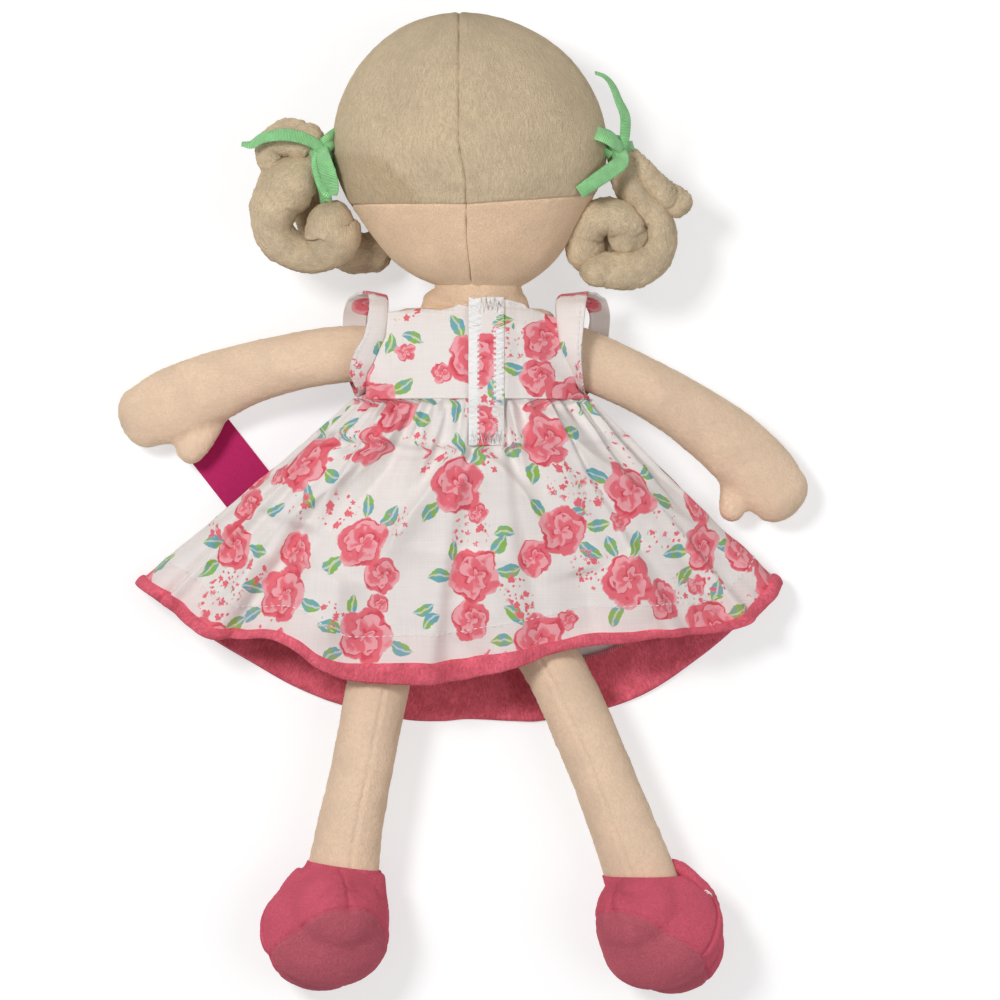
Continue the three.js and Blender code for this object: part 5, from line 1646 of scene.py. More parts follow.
class RAGDOLL_OT_shoes(bpy.types.Operator):
    """Make the stuffed plush shoes, their soles and their straps"""

    bl_idname = "ragdoll.shoes"
    bl_label = "Shoes"

    def execute(self, context):
        sizes, finish = context.scene.doll_sizes, finishes()
        for side in ("left", "right"):
            self.shoe(side, sizes, finish)
        return {"FINISHED"}

    def shoe(self, side, sizes, finish):
        """One shoe: a stuffed foot that runs up to the ankle, cut along its sole seam and its rim."""
        toe, sole, across = shoe_axes(side)
        grid, centre = shoe_grid(side, sizes.leg_length, grow=-0.0001)
        whole = grid_object(f"{side}_shoe_whole", grid, finish["pink"], wrap=True, flip=True)
        cap_ends(whole)
        stations = limb_stations(HIPS[side], sizes.leg_length, HIPS[side][2] * MM, LEG_HALF, LEGS[side])
        leg = curve_through(stations, 60)[54:]
        rim = np.array([leg[-1, 0], *RIMS[side][0]]) * [1, MM, MM]
        slope = math.tan(RIMS[side][1])
        depth = np.maximum(0, rim[1] + slope * (leg[:, 0] - rim[0]) - leg[:, 1])
        leg[:, 3:5] += 0.0008 + 0.9 * np.maximum(0, depth - 0.0018)[:, None]
        inside = np.concatenate([(leg[-1, :3] + centre) / 2, [0.0222, 0.0205]])
        last = np.concatenate([centre, [0.0232, 0.0215]])
        ankle = np.concatenate([leg, [inside, last]])
        tube = soft_tube(f"{side}_ankle_part", ankle, finish["pink"], 48, 40, 4)
        joined([whole, tube], whole.name)
        fused(whole, 0.0006, 40)
        points, out = points_of(whole), normals_of(whole)
        height = (points - centre) @ sole
        seam = np.abs(height - SOLE_OFFSET)
        pucker = 1 + 0.5 * noise(points, 0.0025, 99)
        drop = -0.0007 * pucker * np.exp(-((seam / 0.0006) ** 1.5))
        drop += 0.0002 * np.exp(-(((seam - 0.002) / 0.0016) ** 2))
        heel = np.abs((points - centre) @ across + (0.0 if side == "left" else 0.002))
        back = smooth_step(((centre - points) @ toe) / 0.006)
        drop -= np.where(height < SOLE_OFFSET, 0.0009 * back * pucker * np.exp(-((heel / 0.0006) ** 1.5)), 0)
        corner = np.sqrt(heel**2 + seam**2)
        drop -= 0.0012 * back * np.exp(-((corner / 0.0025) ** 2))
        for at, reach in ((0.0046, 0.9), (0.0158, 0.7)):
            along = np.abs((points - centre) @ toe - at)
            drop -= 0.0006 * reach * np.exp(-((along / 0.0007) ** 2)) * (height < SOLE_OFFSET)
        move_points(whole, points + out * drop[:, None])
        roughen(whole, sizes.pile * 0.35, 91 if side == "left" else 95, size=0.0012, slack=1.2)
        wrap_places(whole, [centre - toe * 0.03, centre, centre + toe * 0.03], 0.024)
        for label, above, finish_name in (("sole", True, "sole"), ("upper", False, "pink")):
            work = opened(whole)
            sliced(work, rim, (-slope, 1, 0), clear_high=True)
            sliced(work, centre + sole * SOLE_OFFSET, sole, clear_low=above, clear_high=not above)

            def on_rim(point):
                return abs((point.x - rim[0]) * -slope + point.y - rim[1]) < 1e-6

            top = [edge for edge in work.edges if edge.is_boundary and all(on_rim(v.co) for v in edge.verts)]
            bmesh.ops.holes_fill(work, edges=top, sides=0)
            bmesh.ops.split_edges(work, edges=top)
            mesh = bpy.data.meshes.new(f"{side}_shoe_{label}_plush")
            work.to_mesh(mesh)
            work.free()
            piece = linked(mesh.name, mesh, finish[finish_name])
            settle(piece, f"{side}_leg", "pink_plush", f"{side}_shoe_{label}", fill=0.9)
        self.strap(side, sizes, finish, toe, sole, whole)
        bpy.data.objects.remove(whole)
        if side == "right":
            self.strap_end(finish)

    def strap_end(self, finish):
        """The strap's folded end, a soft roll at the ankle with a bit of white thread."""
        half = np.array([[0.0021], [0.0025], [0.0026], [0.0027], [0.0023]])
        stations = np.concatenate([np.array(STRAP_END) * MM, half, half], 1)
        piece = soft_tube("right_strap_end", stations, finish["pink"], 28, 60, 6)
        roughen(piece, 0.00018, 98, size=0.0011)
        settle(piece, "right_leg", "pink_plush", fill=0.8)
        first = np.array(STRAP_STITCH)
        loops = [(first + step * np.array([1, -0.8, 0])) * MM for step in (0, 0.7, 1.3)]
        loops = [curve_through(loop, 8) for loop in loops]
        piece = thread("right_strap_stitch", loops, 0.00028, finish["thread"])
        settle(piece, "right_leg", "white_tape")

    def strap(self, side, sizes, finish, toe, sole, whole):
        """The strap over the instep, with rounded edges, whose ends are sewn into the sole seam."""
        grid, centre = shoe_grid(side, sizes.leg_length, grow=0.0001)
        share = np.linspace(0, 1, 17)
        along = ((grid - centre) @ toe).mean(1)
        rows = []
        for part in share:
            index = np.interp(STRAP_START + STRAP_WIDTH * part, along, np.arange(len(along)))
            low = int(index)
            after = grid[min(low + 1, len(grid) - 1)]
            rows.append(grid[low] * (1 - index + low) + after * (index - low))
        band = np.array(rows)
        height = ((band - centre) @ sole).mean(0)
        work = opened(whole)
        tree = BVHTree.FromBMesh(work)
        work.free()
        edge = np.sqrt(np.clip(1 - (2 * share - 1) ** 4, 0, 1))[:, None]
        sunk = smooth_step((SOLE_OFFSET - 0.0005 - height) / 0.004)[None, :]
        rise = 0.0015 * edge * sunk - 0.0004
        keep = np.where(height < SOLE_OFFSET - 0.0004)[0]
        gap = np.where(np.diff(keep) > 1)[0]
        order = np.concatenate([keep[gap[0] + 1:], keep[: gap[0] + 1]]) if len(gap) else keep
        for index in np.ndindex(band.shape[:2]):
            near, normal, _face, _far = tree.find_nearest(Vector(band[index]))
            band[index] = np.array(near) + np.array(normal) * rise[index]
        band[..., 2] = np.maximum(band[..., 2], 0.0)
        piece = grid_object(f"{side}_shoe_strap_plush", band[:, order], finish["pink"], flip=True)
        roughen(piece, sizes.pile * 0.4, 97)
        settle(piece, f"{side}_leg", "pink_plush", f"{side}_shoe_strap")


# Dress: the closing's left and right edges from the middle, then its lower and upper ends, in metres
PLACKET = (-0.0016, 0.0121)
PLACKET_ENDS = (0.0232, 0.0808)
# Height and x of the bodice's armhole edges, and x and height of its neckline, in millimetres
ARM_EDGE = {
    "left": [(44, -37.8), (50.3, -37.4), (55.3, -34.8), (60.4, -32.9), (66.7, -30.4),
        (73, -29.4), (80, -29.2)],
    "right": [(44, 44.5), (50.3, 43.4), (55.3, 41.4), (62.3, 38.8), (66.7, 37.6), (73, 37), (80, 36.4)],
}
NECKLINE = [
    (-32, 74.6), (-29.2, 75.1), (-22, 76.2), (-15.5, 76.5), (-8.5, 75.7), (-3.1, 77.6), (1.2, 79.4),
    (2.8, 80.2), (6.7, 80.7), (14.9, 80.2), (20, 79.4), (26.2, 78), (32, 75.1), (38, 71.7),
]
# Middle of the armholes in y and z. The cloth arches over the arm's root: how far along the arch
# reaches, how much of that the panels follow, and how high it stands
SLEEVE_MIDDLE = (0.0628, 0.031)
ARCH_REACH, ARCH_KEPT, ARCH_HEIGHT = 0.0200, 0.0198, 0.0122


# Where on the print the bodice's back is cut
BODICE_SHIFT = (0.031, 0.012)


def arm_room(y):
    """Height of the cloth where it passes over the arm's root, at a height of the doll."""
    off = np.clip(1 - ((y - SLEEVE_MIDDLE[0]) / ARCH_REACH) ** 2, 0, 1)
    return SLEEVE_MIDDLE[1] + ARCH_HEIGHT * np.sqrt(off)


def bodice_back(start_side, low, grow, inner, rows=90, columns=110):
    """Points of a back panel from its armhole edge to an inner edge near the middle."""
    share = np.linspace(0, 1, columns)[None, :]
    edge_x = np.array(ARM_EDGE[start_side])
    sign = -1 if start_side == "left" else 1
    start = edge_x[-1, 1] * MM
    x_top = start + (inner - start) * share
    top = np.interp(x_top / MM, *np.array(NECKLINE).T) * MM
    y = low + (top - low) * np.linspace(0, 1, rows)[:, None]
    local = y - BASE_Y
    room = arm_room(y)
    middle, half_width, half_depth = torso_section(np.minimum(local, TORSO_TOP), grow)
    reach = np.clip((room + grow - 0.0012 - TORSO_LIFT) / half_depth, 0, 0.93)
    reach = np.where(y < SLEEVE_MIDDLE[0] - ARCH_KEPT, 0.0, reach)
    first = np.arcsin(reach)
    last = np.arccos(np.clip(sign * (inner - middle) / half_width, -1, 1))
    turn = first + (last - first) * share
    x = middle + sign * np.cos(turn) * half_width
    z = TORSO_LIFT + np.sin(turn) * half_depth
    wanted = np.interp(y[:, :1] / MM, *edge_x.T) * MM
    shift = np.where(reach[:, :1] > 0, wanted - x[:, :1], 0.0)
    x = x + shift * np.clip(1 - share / 0.22, 0, 1) ** 2
    return np.stack([x, y, z], 2)


def flat_places(grid, shift):
    """Texture places that follow x and y, so that a print runs on from piece to piece."""
    return grid[..., :2] + np.array(shift)


def top_at(places, cloud):
    """Height of a cloud of points above each place of x and y."""
    result = np.zeros(len(places))
    for index, place in enumerate(places):
        distance = ((cloud[:, :2] - place) ** 2).sum(1)
        near = np.argsort(distance)[:6]
        result[index] = cloud[near, 2].mean()
    return result


def dashes_along(line, dash, gap, first=None, spare=None):
    """Short stretches of a line, as running stitches show them, from a first one to a spare end."""
    travel = travel_along(line)
    first = gap / 2 if first is None else first
    spare = dash if spare is None else spare
    starts = np.arange(first, travel[-1] - spare, dash + gap)
    return [points_at(line, travel, np.linspace(start, start + dash, 4)) for start in starts]


# Rows of zigzag on the flap: the two sides, the start and the end as shares of the flap, the pitch
# in metres, and whether the row runs up the flap
ZIGZAGS = [
    (-0.02, 0.33, 0.03, 0.98, 0.0011, True),
    (0.02, 0.3, 0.3, 0.97, 0.0013, True),
    (0.68, 0.98, 0.02, 0.98, 0.0010, True),
    (0.74, 0.99, 0.03, 0.9, 0.0016, True),
    (0.91, 0.985, 0.3, 0.98, 0.0009, False),
    (0.01, 0.09, 0.05, 0.98, 0.0008, False),
    (0.015, 0.075, 0.1, 0.96, 0.0011, False),
]
# Turn round the armhole in degrees, and x in millimetres of the sleeve's sewn and free edges
SLEEVE_SEWN = {
    "left": [
        (0, -30), (34, -29.2), (79, -30.4), (97, -32.9), (112, -34.8), (129, -37.4), (160, -38),
        (200, -38.5), (250, -38), (300, -38), (330, -36), (360, -30),
    ],
    "right": [
        (0, 39.5), (34, 36.4), (79, 37.4), (97, 39), (112, 41.4), (129, 43.4), (160, 44.6),
        (200, 45), (250, 45.5), (300, 50), (330, 47), (360, 39.5),
    ],
}
SLEEVE_FREE = {
    "left": [
        (0, -39), (34, -36.2), (79, -38), (97, -41.2), (112, -43.2), (129, -43.6), (160, -40.6),
        (200, -42.5), (250, -46), (300, -47), (330, -45), (360, -39),
    ],
    "right": [
        (0, 49), (34, 48), (79, 46.6), (97, 46), (112, 46), (129, 46.4), (160, 47.4),
        (200, 49), (250, 55), (300, 57.5), (330, 56), (360, 49),
    ],
}


class RAGDOLL_OT_bodice(bpy.types.Operator):
    """Make the bodice, its back closing and the frill bands at the armholes"""

    bl_idname = "ragdoll.bodice"
    bl_label = "Bodice"

    def execute(self, context):
        finish = finishes()
        self.panels(finish)
        self.tapes(finish)
        self.flap(finish, context.scene.doll_sizes)
        for side in ("left", "right"):
            self.sleeve(side, finish)
        return {"FINISHED"}

    def cloth(self, piece, node, flat, on):
        """Gives a panel of the bodice its thickness, and attaches it to the body in place of its solid."""
        thicken(piece, 0.0007, -1)
        settle(piece, "root", "printed_cotton", node)

    def panels(self, finish):
        """The front and the two back panels."""
        low = BASE_Y - 0.0006
        self.grids = {}
        for side, inner, grow, node in (
            ("left", MIDDLE_X + PLACKET[1] - 0.001, 0.0016, "bodice_back_left"),
            ("right", MIDDLE_X + PLACKET[1] - 0.0006, 0.0034, "bodice_back_right"),
        ):
            grid = bodice_back(side, low, grow, inner)
            if side == "right":
                near = smooth_step((grid[..., 0] - (MIDDLE_X + PLACKET[1])) / 0.006)
                grid[..., 2] -= near * 0.0016
            wave = 0.0005 * noise(grid * [1, 0.5, 1], 0.013, 101) + 0.0003 * noise(grid, 0.006, 103)
            hems = np.exp(-(((grid[..., 1] - low) / 0.0016) ** 2)) * 0.0006
            grid[..., 2] += wave + hems
            self.grids[side] = grid
            piece = grid_object(
                f"bodice_{side}_cotton", grid, finish["cotton"], flip=side == "right",
                uv=flat_places(grid, BODICE_SHIFT),
            )
            self.cloth(piece, node, (0.052 if side == "left" else 0.044, 0.036), ["stuffed_body"])
        top = TORSO_TOP - 0.0003

        def edge(y):
            room = arm_room(BASE_Y + y)
            _middle, _half_width, half_depth = torso_section(y, 0.0016)
            inside = np.abs(BASE_Y + y - SLEEVE_MIDDLE[0]) < ARCH_KEPT
            return np.where(inside, np.arcsin(np.clip((room - TORSO_LIFT) / half_depth, 0, 0.93)), 0.0)

        y = np.linspace(0.0002, top, 60)
        share = np.linspace(0, 1, 90)[None, :]
        start = edge(y)[:, None]
        turn = -(start + (math.pi - 2 * start) * share)
        grid = on_torso(turn, y[:, None], 0.0016)
        places = flat_places(grid, (0.2, 0.05))
        front = grid_object("bodice_front_cotton", grid, finish["cotton"], flip=True, uv=places)
        self.cloth(front, "bodice_front", (0.1, 0.0345), ["stuffed_body"])

    def tapes(self, finish):
        """The two tapes of the back closing, one above the other under the flap."""
        top, low = TORSO_TOP - 0.0008, 0.0006
        for name, node, grow in (("loop_side", "loop_tape", 0.0021), ("hook_side", "hook_tape", 0.0027)):
            y = np.linspace(low, top, 40)[:, None]
            x = MIDDLE_X + np.linspace(PLACKET[0] + 0.0008, PLACKET[1] - 0.0012, 16)[None, :]
            middle, half_width, half_depth = torso_section(y, grow)
            turn = np.arccos(np.clip((middle - x) / half_width, -1, 1))
            grid = on_torso(turn, y, grow)
            piece = grid_object(name, grid, finish["tape"])
            settle(piece, "root", "white_tape", node)

    def flap(self, finish, sizes):
        """The overlapping flap of the closing with its rows of white zigzag stitches."""
        turn = np.linspace(-0.5, 0.7, 260)
        share = np.linspace(0, 0.3, 60)
        grid = skirt_place(*np.meshgrid(turn, share), sizes.skirt_half_width)
        grid[..., 2] += FOLD_GAIN * fold_height(grid)
        cloud = grid.reshape(-1, 3)
        y = np.linspace(*PLACKET_ENDS, 110)
        x = MIDDLE_X + np.linspace(PLACKET[0], PLACKET[1], 60)
        plan = np.stack(np.meshgrid(x, y), -1)
        local = np.clip(plan[..., 1] - BASE_Y, 0, TORSO_TOP)
        middle, half_width, half_depth = torso_section(local, 0.0038)
        roof = np.clip(1 - ((plan[..., 0] - middle) / half_width) ** 2, 0, 1)
        above = TORSO_LIFT + half_depth * np.sqrt(roof)
        below = np.full(above.shape, -1.0)
        rows = np.where(y < BASE_Y + 0.002)[0]
        below[rows] = top_at(plan[rows].reshape(-1, 2), cloud).reshape(len(rows), -1) + 0.0012
        height = np.maximum(above, below)
        tail = smooth_step((BASE_Y - plan[..., 1]) / 0.006)
        height = height * (1 - tail) + np.where(below > 0, below, height) * tail
        for _ in range(6):
            height[1:-1] = (height[:-2] + 2 * height[1:-1] + height[2:]) / 4
        places = np.concatenate([plan, height[..., None]], 2)
        places[..., 2] += 0.00025 * noise(places, 0.005, 107)
        piece = grid_object(
            "closing_flap_cotton", places, finish["cotton"], uv=flat_places(places, BODICE_SHIFT)
        )
        shares = np.linspace(0, 1, len(y)), np.linspace(0, 1, len(x))
        along, across = np.meshgrid(*shares, indexing="ij")
        ragged = np.where(np.arange(len(y)) // 2 % 2, 0.03, -0.03)[:, None]
        right = (across > 0.74 + ragged) & (across < 0.97 + ragged) & (along > 0.31) & (along < 0.78)
        sewn = (across < np.where(along > 0.74, 0.34, 0.27) + ragged) | right
        mark(piece, "Sewn", sewn)
        thicken(piece, 0.0009, 0)
        settle(piece, "root", "printed_cotton", "bodice_back_right")

        def on_flap(across, along):
            row = np.clip(along, 0, 1) * (len(y) - 1)
            column = np.clip(across, 0, 1) * (len(x) - 1)
            low_row, low_column = np.floor(row).astype(int), np.floor(column).astype(int)
            high_row = np.minimum(low_row + 1, len(y) - 1)
            high_column = np.minimum(low_column + 1, len(x) - 1)
            part_row, part_column = (row - low_row)[:, None], (column - low_column)[:, None]
            first, second = (
                places[line, low_column] * (1 - part_column) + places[line, high_column] * part_column
                for line in (low_row, high_row)
            )
            return first * (1 - part_row) + second * part_row + [0, 0, 0.0006]

        random = np.random.default_rng(109)
        lines = []

        def zigzag(low, high, start, end, pitch, upright):
            long = (PLACKET_ENDS[1] - PLACKET_ENDS[0]) if upright else (PLACKET[1] - PLACKET[0])
            count = int(long * abs(end - start) / pitch) + 2
            along = np.linspace(start, end, count)
            swing = np.where(np.arange(count) % 2, high, low) + random.normal(0, 0.012, count)
            for first in range(0, count - 1, 24):
                part = slice(first, min(first + 25, count))
                pair = (swing[part], along[part]) if upright else (along[part], swing[part])
                lines.append(on_flap(*pair))

        for row in ZIGZAGS:
            zigzag(*row)
        piece = thread("closing_zigzag", lines, 0.00021, finish["thread"], 4)
        settle(piece, "root", "white_tape")
        grid = self.grids["right"]
        share = np.linspace(0.35, 0.98, 60)
        columns = (share * (grid.shape[1] - 1)).astype(int)
        neck = grid[-4, columns] + [0, 0, 0.0004]
        left = self.grids["left"]
        other = left[-4, (np.linspace(0.1, 0.8, 60) * (left.shape[1] - 1)).astype(int)] + [0, 0, 0.0004]
        lines = dashes_along(neck, 0.0015, 0.0011) + dashes_along(other, 0.0015, 0.0011)
        piece = thread("neckline_stitches", lines, 0.0002, finish["thread"], 4)
        settle(piece, "root", "white_tape")

    def sleeve(self, side, finish):
        """A frill band round the armhole, standing out from the shoulder."""
        turn = np.linspace(0, 2 * math.pi, 161)[:-1]
        degrees = np.degrees(turn)
        sewn, free = (spline(table[side], degrees)[:, 1] * MM for table in (SLEEVE_SEWN, SLEEVE_FREE))
        share = np.linspace(0, 1, 34)[:, None]
        pucker = 0.00022 * np.sin(17 * turn + 2 * np.sin(3 * turn)) * share
        rise, lift = np.cos(turn), np.sin(turn)
        x = sewn + (free - sewn) * share
        y = SLEEVE_MIDDLE[0] + (0.0192 + 0.0010 * share + pucker) * rise
        depth = 0.0128 + 0.0047 * np.sqrt(share) + pucker
        z = SLEEVE_MIDDLE[1] + depth * lift
        y = y + 0.0007 * noise(np.stack([x, y + 0 * x, z], -1), 0.012, 113)
        grid = np.stack([x, y, z], -1)
        piece = grid_object(
            f"{side}_sleeve_cotton", grid, finish["cotton"], wrap=True, flip=side == "right"
        )
        thicken(piece, 0.0009, 0)
        settle(piece, "root", "printed_cotton", f"{side}_sleeve")
        row = int(0.84 * (len(grid) - 1))
        back = grid[row, (degrees > 10) & (degrees < 165)]
        dashes = dashes_along(back + [0, 0, 0.0008], 0.0014, 0.001)
        piece = thread(f"{side}_sleeve_stitches", dashes, 0.0002, finish["thread"], 4)
        settle(piece, "root", "white_tape")


# Share across the skirt and drop of the hem, as a share of the hem's reach
HEM_BACK = [
    (-1.0, 0), (-0.985, 0.03), (-0.908, 0.14), (-0.829, 0.31), (-0.749, 0.385), (-0.574, 0.389),
    (-0.494, 0.469), (-0.442, 0.575), (-0.341, 0.684), (-0.141, 0.712), (0.003, 0.691), (0.099, 0.632),
    (0.222, 0.547), (0.344, 0.462), (0.5, 0.41), (0.679, 0.365), (0.823, 0.338), (0.894, 0.273),
    (0.967, 0.121), (1.0, 0),
]
HEM_FRONT = [
    (-1.0, 0), (-0.955, 0.091), (-0.774, 0.389), (-0.641, 0.576), (-0.509, 0.75), (-0.368, 0.88),
    (-0.169, 0.988),
    (-0.05, 1.0), (0.025, 0.985), (0.169, 1.0), (0.249, 1.0), (0.467, 0.9), (0.605, 0.763), (0.75, 0.526),
    (0.836, 0.36), (0.95, 0.1), (1.0, 0),
]
# Share across the skirt and width of the plush edging that shows at the back, in millimetres
EDGING = [
    (-1.0, 5), (-0.88, 5.2), (-0.755, 5), (-0.574, 4), (-0.488, 4.3), (-0.408, 5.2), (-0.31, 7.4),
    (-0.175, 8.6), (0.003, 8.6), (0.099, 7.8), (0.22, 5.6), (0.317, 4.2), (0.424, 5), (0.605, 3.6),
    (0.75, 3.4), (0.857, 4),
    (0.915, 5), (1.0, 5.5),
]
# Where the hem swells at the back: share across the skirt, spread and height
HEM_SWELLS = [(-0.66, 0.1, -0.9), (-0.48, 0.09, 0.8), (-0.02, 0.08, -0.8), (0.5, 0.1, -0.7), (0.68, 0.1, 0.6)]
# Lengths of the skirt in metres: drops and lifts of its rim, its shift to the left, the hem's reach,
# the height of a hem swell, and the distances of the facing's edge and of the stitches
SKIRT = {
    "side_drop": 0.073, "side_lift": 0.009, "back_rise": 0.036, "front_lift": 0.0015, "shift": -0.0055,
    "reach": 0.054, "fold": 0.005, "facing": 0.0225, "stitch": 0.011,
}
# The line that parts the skirt's left from its right, and the wedge of its middle parts: the height
# at which it starts, and its half width for each depth below that
MIDDLE_LINE = 0.0010
WEDGE_START, WEDGE_WIDTH, WEDGE_DEPTH = -0.015, 0.030, 0.050
# Folds of the skirt at the back: a line from the waist in millimetres, then the height, the
# width on its left and the width on its right. The gain scales all the heights
FOLD_GAIN = 1.3
FOLD_LINES = [
    ([(-24, 40), (-32, 26), (-48, 10), (-70, -6), (-92, -20)], 5.0, 9.0, 3.0),
    ([(-14, 40), (-21, 24), (-38, 4), (-56, -16), (-70, -34)], -2.0, 3.0, 4.0),
    ([(2, 24), (-5, 17), (-16, 2), (-25, -10), (-32, -22), (-44, -38)], 5.4, 2.4, 9.0),
    ([(4, 22), (9, 19), (17, 13), (25, 3), (31, -10), (37, -26)], 4.6, 8.0, 2.0),
    ([(33, 41), (38, 33), (44, 25), (53, 18), (66, 9), (78, 0), (94, -10), (110, -23)], 5.6, 8.0, 1.8),
    ([(27, 41), (31, 31), (37, 18), (45, 2), (54, -14)], 3.2, 2.4, 4.0),
    ([(18, 41), (20, 32), (23, 18), (28, 4)], 2.6, 2.0, 2.6),
    ([(-6, 41), (-9, 30), (-15, 16), (-24, 0)], 3.0, 2.6, 2.0),
    ([(-19, 41), (-25, 30), (-36, 17), (-50, 2)], 2.2, 1.8, 2.4),
    ([(-31, 40), (-47, 28), (-68, 13), (-92, -4)], 3.0, 3.0, 3.6),
    ([(-38, 38), (-60, 22), (-84, 5), (-104, -12)], -1.6, 3.0, 3.0),
    ([(-62, -6), (-68, -22), (-71, -44)], -2.6, 5.0, 5.0),
    ([(-78, -16), (-86, -30), (-88, -48)], 3.2, 6.0, 4.0),
    ([(8, -16), (6, -36), (4, -62)], 2.6, 9.0, 9.0),
    ([(62, -18), (72, -34), (80, -50)], 3.0, 7.0, 4.0),
    ([(46, -24), (50, -40), (52, -56)], -2.4, 6.0, 6.0),
    ([(-48, -26), (-50, -42), (-52, -60)], 2.6, 5.0, 7.0),
]


def skirt_place(turn, share, half_width):
    """Points on the skirt at a turn from its middle back and a share from the waist to the hem."""
    across, back = np.sin(turn), np.cos(turn)
    behind = back > 0
    drop = np.where(behind, spline(HEM_BACK, across)[..., 1], spline(HEM_FRONT, across)[..., 1])
    hem_x = SKIRT["shift"] + half_width * across
    hem_y = -SKIRT["side_drop"] - SKIRT["reach"] * drop
    roof = np.where(behind, back, -(np.abs(back) ** 0.45))
    rise = np.where(behind, SKIRT["back_rise"], SKIRT["side_lift"] - SKIRT["front_lift"])
    hem_z = SKIRT["side_lift"] + roof * rise
    for at, spread, deep in HEM_SWELLS:
        bulge = deep * SKIRT["fold"] * np.exp(-(((across - at) / spread) ** 2)) * np.minimum(1, 2 * back)
        hem_z = hem_z + np.where(behind, bulge, 0)
    waist_z = TORSO_LIFT + (TORSO_HALF_DEPTH + 0.0012) * back
    drawn = np.where(behind, np.clip(share, 0, None) ** 1.6, 1 - (1 - share) ** 2)
    waist_x = (TORSO_HALF_WIDTH + 0.0012) * across
    x = MIDDLE_X + waist_x + (hem_x - waist_x) * share
    y = BASE_Y - 0.00015 + (hem_y + 0.00015) * share
    return np.stack(np.broadcast_arrays(x, y, waist_z + (hem_z - waist_z) * drawn), -1)


def fold_height(place):
    """How far the folds at the skirt's back lift each point."""
    flat = place[..., :2].reshape(-1, 2)
    total = np.zeros(len(flat))
    for line, height, left, right in FOLD_LINES:
        line = curve_through(np.array(line) * MM, 24)
        step = np.diff(line, axis=0)
        best, signed, along = np.full(len(flat), 9.0), np.zeros(len(flat)), np.zeros(len(flat))
        for index, (start, move) in enumerate(zip(line[:-1], step)):
            part = np.clip(((flat - start) @ move) / (move @ move), 0, 1)
            off = flat - start - part[:, None] * move
            distance = np.hypot(off[:, 0], off[:, 1])
            side = np.sign(move[0] * off[:, 1] - move[1] * off[:, 0])
            nearer = distance < best
            best = np.where(nearer, distance, best)
            signed = np.where(nearer, side * distance, signed)
            along = np.where(nearer, (index + part) / len(step), along)
        width = np.where(signed > 0, right, left) * MM
        fade = smooth_step(along / 0.12) * smooth_step((1 - along) / 0.45)
        total += height * MM * fade * np.exp(0.3 - np.sqrt(0.09 + (signed / width) ** 2))
    return total.reshape(place.shape[:-1])


